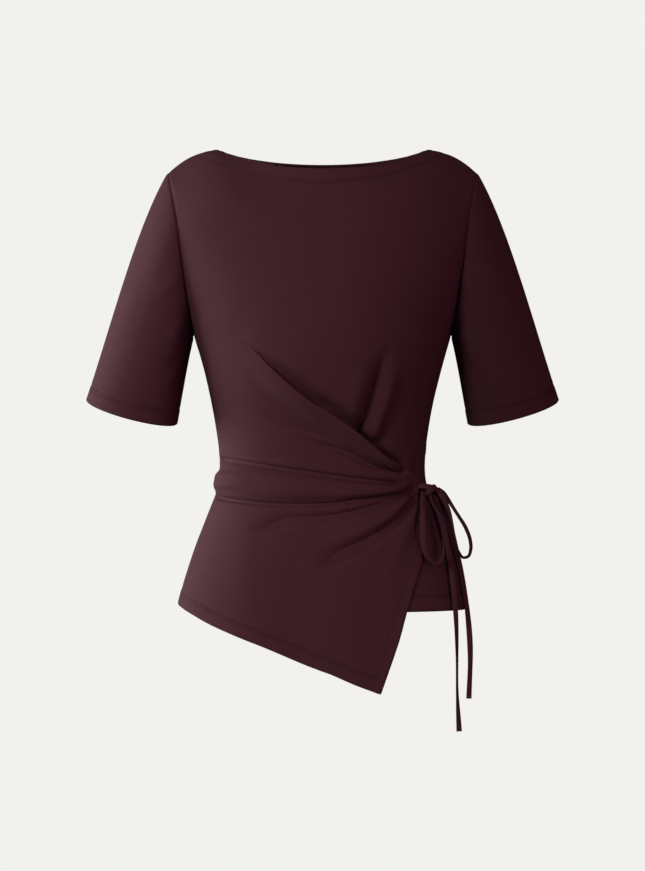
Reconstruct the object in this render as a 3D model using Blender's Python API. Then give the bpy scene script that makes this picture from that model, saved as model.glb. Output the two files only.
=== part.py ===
# Tie-side top: a worn, filled-out jersey top with no wearer inside.
# Metres, +Z up, -Y to the front, +X to the wearer's left, where the tie is.
# The origin lies midway between the two points where the shoulders meet the neck.
# Each piece that is cut and sewn is a closed wall of cloth, a seam gap from its neighbours.

import math

import bpy
import numpy as np

# Driving sizes
CLOTH = 0.0015
SEAM_GAP = 0.0003
NECK_HALF = 0.132
NECK_DROP_FRONT = 0.026
NECK_DROP_BACK = 0.013
NECK_DEPTH_FRONT = 0.070
NECK_DEPTH_BACK = 0.058
SHOULDER_HALF = 0.187
SHOULDER_Z = -0.0266
UNDERARM_Z = -0.225
HEM_Z = -0.553
ARMHOLE_DEPTH_FRONT = 0.050
ARMHOLE_DEPTH_BACK = 0.056
SHOULDER_ROUND = 0.075

# A section is a little squarer than an ellipse: this power sets how much
SECTION_POWER = 0.87

# Where the wrap panel lies over the front, the front is sunk by this much
UNDER_WRAP_SINK = 0.0032
LAP_WIDTH = 0.014
EDGE_LIFT = 0.0024
PANEL_LIFT = 0.0006
FOLD_LIFT = 0.0030

# The body's sections, from the shoulder down
# height, half width, depth of the front, depth of the back
SECTIONS = (
    (0.000, 0.1875, 0.066, 0.070),
    (-0.028, 0.1875, 0.074, 0.078),
    (-0.054, 0.1830, 0.082, 0.088),
    (-0.100, 0.1750, 0.094, 0.099),
    (-0.139, 0.1680, 0.104, 0.103),
    (-0.176, 0.1625, 0.112, 0.103),
    (-0.226, 0.1550, 0.117, 0.102),
    (-0.256, 0.1460, 0.118, 0.099),
    (-0.300, 0.1350, 0.108, 0.093),
    (-0.336, 0.1283, 0.097, 0.088),
    (-0.365, 0.1246, 0.092, 0.085),
    (-0.395, 0.1245, 0.090, 0.084),
    (-0.423, 0.1313, 0.092, 0.087),
    (-0.452, 0.1420, 0.095, 0.093),
    (-0.481, 0.1530, 0.098, 0.099),
    (-0.510, 0.1627, 0.101, 0.104),
    (-0.560, 0.1765, 0.104, 0.108),
    (-0.660, 0.1800, 0.106, 0.110),
)

# The armhole seam as seen from the front
# height, distance from the middle
ARMHOLE = (
    (-0.0266, 0.1870),
    (-0.0750, 0.1768),
    (-0.1355, 0.1680),
    (-0.1770, 0.1620),
    (-0.2250, 0.1550),
)

# The wrap panel's rays run from the tie to its far edge and carry its creases.
# Each row of a ray is an angle round the body, 0 in front and 90 at the tie side, and a height.
FOLD_RAY = (
    (62.7, -0.3981), (51.6, -0.3872), (35.6, -0.3736), (17.3, -0.3448), (-0.7, -0.3120),
    (-23.4, -0.2614), (-33.0, -0.2380), (-48.0, -0.2290), (-68.0, -0.2290), (-90.0, -0.2340),
)
UPPER_RAY = (
    (63.7, -0.4005), (45.1, -0.3910), (26.1, -0.3810), (9.8, -0.3679), (-9.5, -0.3419),
    (-29.5, -0.3135), (-58.0, -0.2823), (-90.0, -0.2680),
)
BAND_TOP_RAY = (
    (64.7, -0.4030), (44.8, -0.4025), (20.0, -0.3971), (-8.3, -0.3885), (-32.1, -0.3822),
    (-52.1, -0.3776), (-90.0, -0.3710),
)
BAND_FOOT_RAY = (
    (65.7, -0.4055), (31.8, -0.4116), (4.0, -0.4216), (-18.1, -0.4235), (-56.5, -0.4182),
    (-90.0, -0.4130),
)
HIP_RAY = (
    (66.6, -0.4080), (30.8, -0.4237), (3.8, -0.4380), (-20.5, -0.4525), (-36.2, -0.4576),
    (-90.0, -0.4630),
)
CORNER_RAY = (
    (67.4, -0.4105), (42.0, -0.4290), (18.0, -0.4540), (-10.0, -0.4860), (-46.0, -0.5200),
    (-90.0, -0.5475),
)
SWEEP_RAY = (
    (68.4, -0.4128), (44.5, -0.4400), (27.9, -0.4626), (10.0, -0.5000), (-7.0, -0.5330),
    (-37.9, -0.5776),
)
FREE_EDGE_RAY = (
    (69.6, -0.4150), (54.0, -0.4575), (46.2, -0.4904), (37.8, -0.5220), (31.3, -0.5536),
    (26.3, -0.5912), (19.1, -0.6499),
)
# The wrap panel's hem: angle, height
WRAP_HEM = (
    (-90.0, -0.5475), (-72.0, -0.5520), (-60.4, -0.5578), (-44.7, -0.5709), (-30.9, -0.5843),
    (-18.3, -0.5979), (-3.6, -0.6189), (9.2, -0.6402), (19.1, -0.6499),
)
# ray, rows of cloth between it and the next one
WRAP_RAYS = (
    (FOLD_RAY, 4),
    (UPPER_RAY, 4),
    (BAND_TOP_RAY, 4),
    (BAND_FOOT_RAY, 3),
    (HIP_RAY, 4),
    (CORNER_RAY, 4),
    (SWEEP_RAY, 4),
    (FREE_EDGE_RAY, 0),
)
WRAP_STATIONS = 22

# The largest folds, each a path over the body with its height (below zero for a trough)
# path, rise, half width, share of its length over which it fades in, and fades out
WRAP_FOLDS = (
    (((60.0, -0.4045), (20.0, -0.4080), (-8.0, -0.4065), (-52.0, -0.3985), (-90.0, -0.3970)),
     0.0058, 0.011, 0.25, 0.0),
    (((50.0, -0.3945), (17.3, -0.3580), (-10.0, -0.3060), (-33.0, -0.2560)), 0.0030, 0.010, 0.2, 0.25),
    (((56.0, -0.4230), (28.0, -0.4440), (8.0, -0.4820), (-5.0, -0.5100)), 0.0032, 0.012, 0.2, 0.3),
    (((58.0, -0.4150), (24.0, -0.4310), (-10.0, -0.4560), (-40.0, -0.4680)), 0.0026, 0.010, 0.2, 0.3),
)
BACK_FOLDS = (
    (((-90.0, -0.3970), (-60.0, -0.3990), (-20.0, -0.4060)), 0.0058, 0.011, 0.0, 0.6),
)
FRONT_FOLDS = (
    (((14.0, -0.3560), (16.6, -0.3100), (15.0, -0.2620)), 0.0034, 0.009, 0.2, 0.3),
    (((18.5, -0.3520), (20.0, -0.3080), (22.5, -0.2500)), -0.0036, 0.007, 0.2, 0.3),
    (((23.5, -0.3600), (26.5, -0.3120), (29.5, -0.2560)), 0.0034, 0.008, 0.2, 0.3),
    (((27.5, -0.3700), (31.0, -0.3200), (37.0, -0.2650)), -0.0026, 0.007, 0.2, 0.3),
    (((57.0, -0.3950), (62.0, -0.3700), (67.0, -0.3300)), 0.0024, 0.007, 0.2, 0.3),
)

# Sleeves: the cuff's middle, its half width and half depth, and how it lies
CUFF_CENTRE = (0.2312, 0.010, -0.3155)
CUFF_HALF_WIDTH = 0.0570
CUFF_HALF_DEPTH = 0.0500
CUFF_SLOPE = math.radians(14.8)
CUFF_FRONT_DROP = 0.19
SLEEVE_LEAN_BACK = 0.06
CAP_FLARE = 0.30
CAP_FULLNESS = 0.30
CAP_REACH = 0.75
CUFF_FLARE = 0.07
SLEEVE_RINGS = 12
ARMHOLE_ROWS = 12

# One degree round the body is about two millimetres of cloth, so that both columns are lengths
ANGLE_SCALE = 0.002
PATH_POINTS = 40

# Columns of cloth from the middle to the neck point, then to the shoulder's end, and height of a row
FRONT_GRID = (9, 4, 0.0180)
BACK_GRID = (6, 3, 0.0240)

# The tie: a flat strap, shown here as a plain tube
TIE_RADIUS = 0.0025
TIE_POINTS = 24
KNOT_CENTRE = (0.1292, -0.0480, -0.4064)
KNOT_HALF = (0.0115, 0.0064, 0.0060)
KNOT_POWER = 0.75
KNOT_RINGS = 10
KNOT_SIDES = 20
# Routes of the two loops and the two tails
LOOP_FRONT = (
    (0.1205, -0.0515, -0.4112), (0.1200, -0.0580, -0.4230), (0.1193, -0.0700, -0.4360),
    (0.1188, -0.0755, -0.4523), (0.1199, -0.0780, -0.4708), (0.1240, -0.0775, -0.4867),
    (0.1318, -0.0740, -0.4951), (0.1385, -0.0700, -0.4952), (0.1433, -0.0680, -0.4870),
    (0.1440, -0.0660, -0.4752), (0.1417, -0.0635, -0.4562), (0.1370, -0.0600, -0.4372),
    (0.1305, -0.0550, -0.4240), (0.1272, -0.0500, -0.4130),
)
LOOP_BACK = (
    (0.1426, -0.0465, -0.4050), (0.1485, -0.0475, -0.4095), (0.1541, -0.0500, -0.4219),
    (0.1631, -0.0510, -0.4386), (0.1712, -0.0510, -0.4553), (0.1766, -0.0505, -0.4709),
    (0.1772, -0.0500, -0.4805), (0.1739, -0.0500, -0.4894), (0.1679, -0.0500, -0.4906),
    (0.1631, -0.0505, -0.4840), (0.1589, -0.0515, -0.4709), (0.1547, -0.0520, -0.4505),
    (0.1500, -0.0520, -0.4326), (0.1440, -0.0520, -0.4200), (0.1385, -0.0504, -0.4111),
)
TAIL_INNER = (
    (0.1325, -0.0465, -0.4128), (0.1370, -0.0475, -0.4280), (0.1435, -0.0480, -0.4495),
    (0.1500, -0.0500, -0.4781), (0.1543, -0.0540, -0.5078), (0.1577, -0.0590, -0.5410),
    (0.1594, -0.0620, -0.5706), (0.1602, -0.0630, -0.6063), (0.1604, -0.0635, -0.6479),
    (0.1625, -0.0635, -0.6938),
)
TAIL_OUTER = (
    (0.1380, -0.0450, -0.4110), (0.1425, -0.0408, -0.4225), (0.1510, -0.0350, -0.4450),
    (0.1591, -0.0310, -0.4763), (0.1655, -0.0285, -0.5028), (0.1709, -0.0290, -0.5328),
    (0.1751, -0.0300, -0.5664), (0.1774, -0.0300, -0.6024), (0.1759, -0.0300, -0.6577),
)

# Colours of the cloth in plain light, and how rough it is
BURGUNDY = (0.055, 0.019, 0.026)
DEEP_BURGUNDY = (0.045, 0.015, 0.021)
JERSEY_ROUGHNESS = 0.85


def clear_scene():
    for old in list(bpy.data.objects):
        bpy.data.objects.remove(old, do_unlink=True)


def smooth_table(table, x):
    """Reads a table at x with a smooth curve through its rows, first column ascending."""
    rows = np.array(table, float)
    rows = rows[np.argsort(rows[:, 0])]
    keys = rows[:, 0]
    slopes = np.gradient(rows[:, 1:], keys, axis=0)
    at = np.clip(np.asarray(x, float), keys[0], keys[-1])
    left = np.clip(np.searchsorted(keys, at, side="right") - 1, 0, len(keys) - 2)
    span = (keys[left + 1] - keys[left])[..., None]
    t = ((at - keys[left])[..., None]) / span
    low, high = rows[left, 1:], rows[left + 1, 1:]
    return (low * (2 * t**3 - 3 * t**2 + 1) + high * (3 * t**2 - 2 * t**3)
            + span * (slopes[left] * (t**3 - 2 * t**2 + t) + slopes[left + 1] * (t**3 - t**2)))


def smooth_route(points, count):
    """Points at even steps along a smooth curve through the given ones."""
    points = np.array(points, float)
    along = np.concatenate([[0.0], np.cumsum(np.linalg.norm(np.diff(points, axis=0), axis=1))])
    table = np.column_stack([along, points])
    fine = smooth_table(table, np.linspace(0.0, along[-1], 12 * count))
    length = np.concatenate([[0.0], np.cumsum(np.linalg.norm(np.diff(fine, axis=0), axis=1))])
    even = np.linspace(0.0, length[-1], count)
    return np.column_stack([np.interp(even, length, column) for column in fine.T])


def unit(vectors):
    vectors = np.asarray(vectors, float)
    return vectors / np.maximum(np.linalg.norm(vectors, axis=-1, keepdims=True), 1e-12)


def ease(t):
    t = np.clip(t, 0.0, 1.0)
    return t * t * (3.0 - 2.0 * t)


def signed_power(value, power):
    return np.sign(value) * np.abs(value) ** power


def armhole_turn(z):
    """Half turn down the armhole: 0 at the shoulder, pi at the underarm."""
    middle = 0.5 * (SHOULDER_Z + UNDERARM_Z)
    reach = 0.5 * (SHOULDER_Z - UNDERARM_Z)
    return np.arccos(np.clip((z - middle) / reach, -1.0, 1.0))


def body_point(share, z, side, top_z=0.0, top_y=0.0):
    """A point of the body: share is -1 to 1 across the panel, side -1 in front and 1 behind."""
    share, z = np.broadcast_arrays(np.asarray(share, float), np.asarray(z, float))
    half, front, back = np.moveaxis(smooth_table(SECTIONS, z), -1, 0)
    depth = front if side < 0 else back
    armhole_depth = ARMHOLE_DEPTH_FRONT if side < 0 else ARMHOLE_DEPTH_BACK
    down = armhole_turn(z)
    edge_y = armhole_depth * np.sin(down) ** (0.6 + 0.5 * ease(down / math.pi))
    beside_armhole = (z > UNDERARM_Z) & (z < SHOULDER_Z)
    edge_y = np.where(beside_armhole, edge_y, 0.0)
    edge_x = np.where(z > UNDERARM_Z, smooth_table(ARMHOLE, z)[..., 0], half)
    limit = np.arccos(np.clip(edge_y / depth, 0.0, 1.0) ** (1.0 / SECTION_POWER))
    half = edge_x / np.sin(limit) ** SECTION_POWER
    turn = share * limit
    x = half * signed_power(np.sin(turn), SECTION_POWER)
    y = side * depth * np.abs(np.cos(turn)) ** SECTION_POWER
    rounding = np.clip((top_z - z) / SHOULDER_ROUND, 0.0, 1.0)
    y = top_y + (y - top_y) * np.sqrt(1.0 - (1.0 - rounding) ** 2)
    return np.stack([x, y, z], axis=-1)


def form_point(angle, z, side=-1):
    """A point of the plain form below the underarm, by the angle round it in degrees."""
    half, front, back = np.moveaxis(smooth_table(SECTIONS, z), -1, 0)
    depth = front if side < 0 else back
    turn = np.radians(angle)
    x = half * signed_power(np.sin(turn), SECTION_POWER)
    y = side * depth * np.abs(np.cos(turn)) ** SECTION_POWER
    return np.stack([x, y, np.broadcast_to(z, x.shape)], axis=-1)


def grid_normals(points, outward):
    """Normals of a grid of points, turned to the side that outward says."""
    down = np.gradient(points, axis=0)
    across = np.gradient(points, axis=1)
    normals = unit(np.cross(across, down))
    facing = np.sum(normals * outward, axis=-1)
    return normals * np.sign(np.sum(facing))


def distance_to_path(points, path):
    """Distance from each point to a path, and the share of the path's length at the nearest place."""
    lengths = np.linalg.norm(np.diff(path, axis=0), axis=1)
    before = np.concatenate([[0.0], np.cumsum(lengths)])
    best = np.full(points.shape[:-1], np.inf)
    share = np.zeros(points.shape[:-1])
    for start, end, length, done in zip(path[:-1], path[1:], lengths, before):
        t = np.clip(np.sum((points - start) * (end - start), axis=-1) / length**2, 0.0, 1.0)
        gap = np.linalg.norm(points - (start + t[..., None] * (end - start)), axis=-1)
        nearer = gap < best
        best = np.where(nearer, gap, best)
        share = np.where(nearer, (done + t * length) / before[-1], share)
    return best, share


def path_on_form(angles_and_heights, side=-1):
    path = smooth_route(angles_and_heights_scaled(angles_and_heights), PATH_POINTS)
    return form_point(path[:, 0] / ANGLE_SCALE, path[:, 1], side)


def angles_and_heights_scaled(rows):
    return [(angle * ANGLE_SCALE, height) for angle, height in rows]


def fold_relief(points, folds, side=-1):
    """Height of the named folds over the cloth, soft across and fading at their ends."""
    relief = np.zeros(points.shape[:-1])
    for rows, rise, half_width, fade_in, fade_out in folds:
        gap, share = distance_to_path(points, path_on_form(rows, side))
        fade = np.ones_like(share)
        if fade_in:
            fade = ease(share / fade_in)
        if fade_out:
            fade = fade * ease((1.0 - share) / fade_out)
        relief += rise * fade * np.exp(-(gap / half_width) ** 2)
    return relief


def wrap_depth_inside(points):
    """How far a point of the front lies inside the wrap panel's outline, above zero when covered."""
    fold = path_on_form(FOLD_RAY)
    edge = path_on_form(FREE_EDGE_RAY)
    to_fold, _ = distance_to_path(points, fold)
    to_edge, _ = distance_to_path(points, edge)
    fold_z = np.interp(points[..., 0], fold[::-1, 0], fold[::-1, 2])
    edge_x = np.interp(points[..., 2], edge[::-1, 2], edge[::-1, 0])
    covered = (points[..., 2] < fold_z) & (points[..., 0] < edge_x)
    return np.where(covered, np.minimum(to_fold, to_edge), 0.0)


def material(name, colour):
    made = bpy.data.materials.new(name)
    made.use_nodes = True
    shader = made.node_tree.nodes["Principled BSDF"]
    shader.inputs["Base Color"].default_value = (*colour, 1.0)
    shader.inputs["Roughness"].default_value = JERSEY_ROUGHNESS
    shader.inputs["Metallic"].default_value = 0.0
    return made


def add_mesh(name, points, faces, colour):
    mesh = bpy.data.meshes.new(name)
    mesh.from_pydata([tuple(point) for point in points], [], faces)
    mesh.shade_smooth()
    mesh.set_sharp_from_angle(angle=math.radians(50.0))
    mesh.materials.append(material(name + "_cloth", colour))
    made = bpy.data.objects.new(name, mesh)
    bpy.context.scene.collection.objects.link(made)
    return made


def add_wall(name, outer, normals, colour, closed=False):
    """A closed wall of cloth between a grid of outer points and the same grid moved inwards."""
    rows, columns = outer.shape[:2]
    inner = outer - CLOTH * normals
    points = np.concatenate([outer.reshape(-1, 3), inner.reshape(-1, 3)])
    shift = rows * columns
    steps = columns if closed else columns - 1
    faces = []
    for row in range(rows - 1):
        for column in range(steps):
            beside = (column + 1) % columns
            a, b = row * columns + column, row * columns + beside
            c, d = a + columns, b + columns
            faces.append((a, c, d, b))
            faces.append((shift + a, shift + b, shift + d, shift + c))
    for column in range(steps):
        beside = (column + 1) % columns
        last = (rows - 1) * columns
        faces.append((column, beside, shift + beside, shift + column))
        faces.append((last + beside, last + column, shift + last + column, shift + last + beside))
    if not closed:
        for row in range(rows - 1):
            a, b = row * columns, (row + 1) * columns
            c, d = a + columns - 1, b + columns - 1
            faces.append((b, a, shift + a, shift + b))
            faces.append((c, d, shift + d, shift + c))
    # The grid may run either way round, so the faces are turned to match the normals
    a, c, d, _ = faces[0]
    first = np.cross(points[c] - points[a], points[d] - points[a])
    if np.dot(first, normals[0, 0]) < 0.0:
        faces = [face[::-1] for face in faces]
    return add_mesh(name, points, faces, colour)


def panel_columns(neck_columns, shoulder_columns):
    """Shares across a panel, with a column exactly on each neck point."""
    neck_share = math.asin((NECK_HALF / SHOULDER_HALF) ** (1.0 / SECTION_POWER)) / (0.5 * math.pi)
    half = np.concatenate([
        np.linspace(0.0, neck_share, neck_columns + 1),
        np.linspace(neck_share, 1.0, shoulder_columns + 1)[1:],
    ])
    return np.concatenate([-half[:0:-1], half]), neck_share


def panel_rows(step):
    """Heights down the armhole by even turns, then even rows to the hem."""
    turns = np.linspace(0.0, math.pi, ARMHOLE_ROWS + 1)
    middle = 0.5 * (SHOULDER_Z + UNDERARM_Z)
    armhole = middle + 0.5 * (SHOULDER_Z - UNDERARM_Z) * np.cos(turns)
    count = round((UNDERARM_Z - HEM_Z) / step)
    return np.concatenate([armhole, np.linspace(UNDERARM_Z, HEM_Z, count + 1)[1:]])


def panel_grid(side):
    """Outer points and normals of a body panel, front or back."""
    neck_columns, shoulder_columns, step = FRONT_GRID if side < 0 else BACK_GRID
    shares, neck_share = panel_columns(neck_columns, shoulder_columns)
    rows = panel_rows(step)
    drop = NECK_DROP_FRONT if side < 0 else NECK_DROP_BACK
    neck_depth = NECK_DEPTH_FRONT if side < 0 else NECK_DEPTH_BACK
    top_x = SHOULDER_HALF * np.sin(np.abs(shares) * 0.5 * math.pi) ** SECTION_POWER
    across_neck = np.clip(1.0 - (top_x / NECK_HALF) ** 2, 0.0, 1.0)
    along_shoulder = np.clip((top_x - NECK_HALF) / (SHOULDER_HALF - NECK_HALF), 0.0, 1.0)
    top_z = -drop * across_neck**0.85 + SHOULDER_Z * along_shoulder**2
    top_y = side * neck_depth * across_neck**0.75
    fade = np.clip(1.0 - (SHOULDER_Z - rows) / 0.110, 0.0, 1.0)
    heights = rows[:, None] + (top_z - SHOULDER_Z)[None, :] * fade[:, None]
    points = body_point(shares[None, :], heights, side, top_z[None, :], top_y[None, :])
    # The top row keeps to the neck and shoulder line, which is wider than the section there
    rise = ease(1.0 - (top_z[None, :] - heights) / SHOULDER_ROUND)
    points[..., 0] += rise * (np.sign(shares) * top_x - points[0, :, 0])[None, :]
    outward = np.zeros_like(points)
    outward[..., 1] = side
    normals = grid_normals(points, outward)
    on_shoulder = np.abs(shares) >= neck_share - 1e-9
    normals[0, on_shoulder, 1] = 0.0
    below = rows < UNDERARM_Z - 1e-9
    for column in (0, -1):
        normals[below, column, 1] = 0.0
        normals[:ARMHOLE_ROWS + 1, column] = armhole_radial(points[:ARMHOLE_ROWS + 1, column])
        points[below, column, 1] = side * 0.5 * SEAM_GAP
        points[ARMHOLE_ROWS, column, 1] = side * 0.5 * SEAM_GAP
    points[0, on_shoulder, 1] = side * 0.5 * SEAM_GAP
    return points, unit(normals)


def armhole_radial(points):
    """Directions from the armhole's middle line out to its seam."""
    along = unit([SHOULDER_HALF - ARMHOLE[-1][1], 0.0, SHOULDER_Z - UNDERARM_Z])
    flip = np.array([np.sign(points[0, 0]), 1.0, 1.0])
    local = points * flip
    middle = np.array([0.5 * (SHOULDER_HALF + ARMHOLE[-1][1]), 0.0, 0.5 * (SHOULDER_Z + UNDERARM_Z)])
    offset = local - middle
    lengthwise = np.sum(offset * along, axis=-1)[:, None] * along
    radial = lengthwise / (0.5 * (SHOULDER_Z - UNDERARM_Z))
    radial[:, 1] = offset[:, 1] / ARMHOLE_DEPTH_BACK
    return unit(radial) * flip


def build_front():
    points, normals = panel_grid(-1)
    inside = wrap_depth_inside(points)
    sink = UNDER_WRAP_SINK * ease(inside / LAP_WIDTH)
    shown = 1.0 - ease(inside / LAP_WIDTH)
    relief = fold_relief(points, FRONT_FOLDS) * shown
    relief[:, 0] = 0.0
    relief[:, -1] = 0.0
    points = points + normals * (relief - sink)[..., None]
    add_wall("front", points, normals, BURGUNDY)


def build_back():
    points, normals = panel_grid(1)
    points = points + normals * fold_relief(points, BACK_FOLDS, side=1)[..., None]
    add_wall("back", points, normals, BURGUNDY)


def wrap_grid():
    """Angles and heights of the wrap panel, a row along each ray and more between them."""
    sampled = [smooth_route(angles_and_heights_scaled(ray), WRAP_STATIONS + 1)
               for ray, _ in WRAP_RAYS]
    rows_before = np.concatenate([[0], np.cumsum([rows for _, rows in WRAP_RAYS[:-1]])])
    stack = np.stack(sampled).reshape(len(WRAP_RAYS), -1)
    table = np.column_stack([rows_before, stack])
    grid = smooth_table(table, np.arange(rows_before[-1] + 1))
    grid = grid.reshape(len(grid), WRAP_STATIONS + 1, 2)
    # Below the side seam's foot the rays end on the hem
    hem_rows = slice(rows_before[5], None)
    hem = smooth_table(WRAP_HEM, grid[hem_rows, -1, 0] / ANGLE_SCALE)[:, 0]
    reach = np.linspace(0.0, 1.0, WRAP_STATIONS + 1) ** 3
    grid[hem_rows, :, 1] += (hem - grid[hem_rows, -1, 1])[:, None] * reach
    return grid


def build_wrap():
    grid = wrap_grid()
    angle = grid[..., 0] / ANGLE_SCALE
    base = form_point(np.clip(angle, -90.0, 90.0), grid[..., 1])
    outward = base * (1.0, 1.0, 0.0)
    normals = grid_normals(base, outward)
    at_side = angle[:, -1] < -89.0
    normals[at_side, -1, 1] = 0.0
    normals = unit(normals)
    rims = np.concatenate([path_on_form(FOLD_RAY)[::-1], path_on_form(FREE_EDGE_RAY)])
    to_rim, _ = distance_to_path(base, rims)
    lap = 1.0 - ease(to_rim / LAP_WIDTH)
    to_fold, share = distance_to_path(base, path_on_form(FOLD_RAY[:6]))
    fold_roll = FOLD_LIFT * np.exp(-(to_fold / 0.008) ** 2) * ease(1.4 * (1.0 - share))
    lift = PANEL_LIFT + (EDGE_LIFT - PANEL_LIFT) * lap + fold_roll
    points = base + normals * (lift + fold_relief(base, WRAP_FOLDS))[..., None]
    points[at_side, -1, 1] = -0.5 * SEAM_GAP
    add_wall("wrap", points, normals, BURGUNDY)


def sleeve_grid(sign):
    """Rings from the armhole seam to the cuff, on the same points as the body's armhole edges."""
    column = -1 if sign > 0 else 0
    front, _ = panel_grid(-1)
    back, _ = panel_grid(1)
    down_front = front[:ARMHOLE_ROWS + 1, column]
    up_back = back[ARMHOLE_ROWS - 1:0:-1, column]
    seam = np.concatenate([down_front, up_back])
    seam[[0, ARMHOLE_ROWS], 1] = 0.0
    radial = armhole_radial(seam)
    turn = np.linspace(0.0, 2.0 * math.pi, len(seam), endpoint=False)
    flip = np.array([sign, 1.0, 1.0])
    axis = unit([math.sin(CUFF_SLOPE), SLEEVE_LEAN_BACK, -math.cos(CUFF_SLOPE)])
    inward = np.array([-math.cos(CUFF_SLOPE), 0.0, -math.sin(CUFF_SLOPE)])
    forward = np.array([0.0, -math.sqrt(1.0 - CUFF_FRONT_DROP**2), -CUFF_FRONT_DROP])
    cuff = (np.array(CUFF_CENTRE)
            - CUFF_HALF_WIDTH * np.cos(turn)[:, None] * inward
            + CUFF_HALF_DEPTH * np.sin(turn)[:, None] * forward)
    over = np.clip(np.cos(turn), 0.0, 1.0)[:, None]
    beside = np.sin(turn)[:, None]
    start = unit(axis + CAP_FLARE * over * (1.0, 0.0, 0.1)
                 + CAP_FULLNESS * beside * (0.0, -1.0, 0.0)
                 + 0.10 * np.abs(beside) * (1.0, 0.0, 0.0))
    away = unit([SHOULDER_Z - UNDERARM_Z, 0.0, ARMHOLE[-1][1] - SHOULDER_HALF])
    seam = seam * flip + SEAM_GAP * away
    reach = np.linalg.norm(cuff - seam, axis=1)[:, None]
    end = unit(axis + CUFF_FLARE * np.cos(turn)[:, None] * (1.0, 0.0, 0.0))
    t = np.linspace(0.0, 1.0, SLEEVE_RINGS + 1)[:, None, None]
    points = (seam * (2 * t**3 - 3 * t**2 + 1) + cuff * (3 * t**2 - 2 * t**3)
              + CAP_REACH * reach * start * (t**3 - 2 * t**2 + t) + reach * end * (t**3 - t**2))
    wrapped = np.concatenate([points[:, -1:], points, points[:, :1]], axis=1)
    centre = points.mean(axis=1, keepdims=True)
    outward = wrapped - centre
    normals = grid_normals(wrapped, outward)[:, 1:-1]
    normals[0] = radial * flip
    return points * flip, normals * flip


def build_sleeves():
    for name, sign in (("sleeve_right", -1), ("sleeve_left", 1)):
        points, normals = sleeve_grid(sign)
        add_wall(name, points, normals, BURGUNDY, closed=True)


def build_knot():
    """The wrapped strap of the knot: a squarish bead, pinched round its middle."""
    turn = np.linspace(0.0, 2.0 * math.pi, KNOT_SIDES, endpoint=False)
    tilt = np.linspace(-0.5 * math.pi, 0.5 * math.pi, KNOT_RINGS + 1)[1:-1]
    along = signed_power(np.sin(tilt), KNOT_POWER)[:, None]
    width = np.cos(tilt)[:, None] ** KNOT_POWER * (1.0 - 0.12 * np.cos(tilt)[:, None] ** 6)
    ring_y = signed_power(np.cos(turn), KNOT_POWER)[None, :]
    ring_z = signed_power(np.sin(turn), KNOT_POWER)[None, :]
    rings = np.stack([np.broadcast_to(along, (len(tilt), len(turn))), width * ring_y, width * ring_z],
                     axis=-1)
    poles = np.array([[-1.0, 0.0, 0.0], [1.0, 0.0, 0.0]])
    points = np.concatenate([rings.reshape(-1, 3), poles]) * KNOT_HALF + np.array(KNOT_CENTRE)
    faces = []
    for row in range(len(tilt) - 1):
        for side in range(KNOT_SIDES):
            beside = (side + 1) % KNOT_SIDES
            a, b = row * KNOT_SIDES + side, row * KNOT_SIDES + beside
            faces.append((a, b, b + KNOT_SIDES, a + KNOT_SIDES))
    first_pole = len(points) - 2
    last_row = (len(tilt) - 1) * KNOT_SIDES
    for side in range(KNOT_SIDES):
        beside = (side + 1) % KNOT_SIDES
        faces.append((first_pole, beside, side))
        faces.append((first_pole + 1, last_row + side, last_row + beside))
    add_mesh("tie_knot", points, faces, DEEP_BURGUNDY)


def build_tie(name, route):
    """A stretch of the tie as a tube along a smooth curve."""
    curve = bpy.data.curves.new(name, "CURVE")
    curve.dimensions = "3D"
    curve.bevel_depth = TIE_RADIUS
    curve.bevel_resolution = 2
    curve.use_fill_caps = True
    points = smooth_route(route, TIE_POINTS)
    line = curve.splines.new("POLY")
    line.points.add(len(points) - 1)
    for spot, place in zip(line.points, points):
        spot.co = (*place, 1.0)
    curve.materials.append(material(name + "_cloth", DEEP_BURGUNDY))
    made = bpy.data.objects.new(name, curve)
    bpy.context.scene.collection.objects.link(made)


def main():
    clear_scene()
    build_front()
    build_back()
    build_wrap()
    build_sleeves()
    build_knot()
    build_tie("tie_loop_front", LOOP_FRONT)
    build_tie("tie_loop_back", LOOP_BACK)
    build_tie("tie_tail_inner", TAIL_INNER)
    build_tie("tie_tail_outer", TAIL_OUTER)


main()
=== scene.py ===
# %% [markdown]
# A tie-side top in fine burgundy jersey, filled out as if worn, with nobody in it.
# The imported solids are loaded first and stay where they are. Everything below dresses them:
# each cut piece gets a thin shell of cloth on the same form, with its folds and seams.

# %% Load the frame
import math

import bpy
import numpy as np
from mathutils import Matrix


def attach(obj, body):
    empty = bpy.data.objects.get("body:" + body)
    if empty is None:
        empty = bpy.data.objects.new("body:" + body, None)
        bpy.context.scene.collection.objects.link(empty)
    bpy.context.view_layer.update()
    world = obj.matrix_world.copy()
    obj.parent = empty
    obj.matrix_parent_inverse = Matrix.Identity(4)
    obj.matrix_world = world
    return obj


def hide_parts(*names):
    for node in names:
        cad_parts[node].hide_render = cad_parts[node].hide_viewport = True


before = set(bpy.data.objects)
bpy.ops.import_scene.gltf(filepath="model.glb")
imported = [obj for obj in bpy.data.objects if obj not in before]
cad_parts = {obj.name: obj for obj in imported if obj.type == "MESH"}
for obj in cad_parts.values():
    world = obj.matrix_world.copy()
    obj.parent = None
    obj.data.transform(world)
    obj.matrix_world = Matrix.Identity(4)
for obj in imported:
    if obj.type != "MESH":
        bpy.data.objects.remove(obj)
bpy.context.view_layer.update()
print("solids:", sorted(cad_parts))

# %% [markdown]
# The photograph is taken level with the middle of the top and from well back, so that upright
# lines stay upright. One pixel at the shoulders is 1.21 mm. A camera needs its distance and its
# lens to agree: the picture is 871 pixels high, and a 36 mm high sensor has to see all of it.

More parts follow.
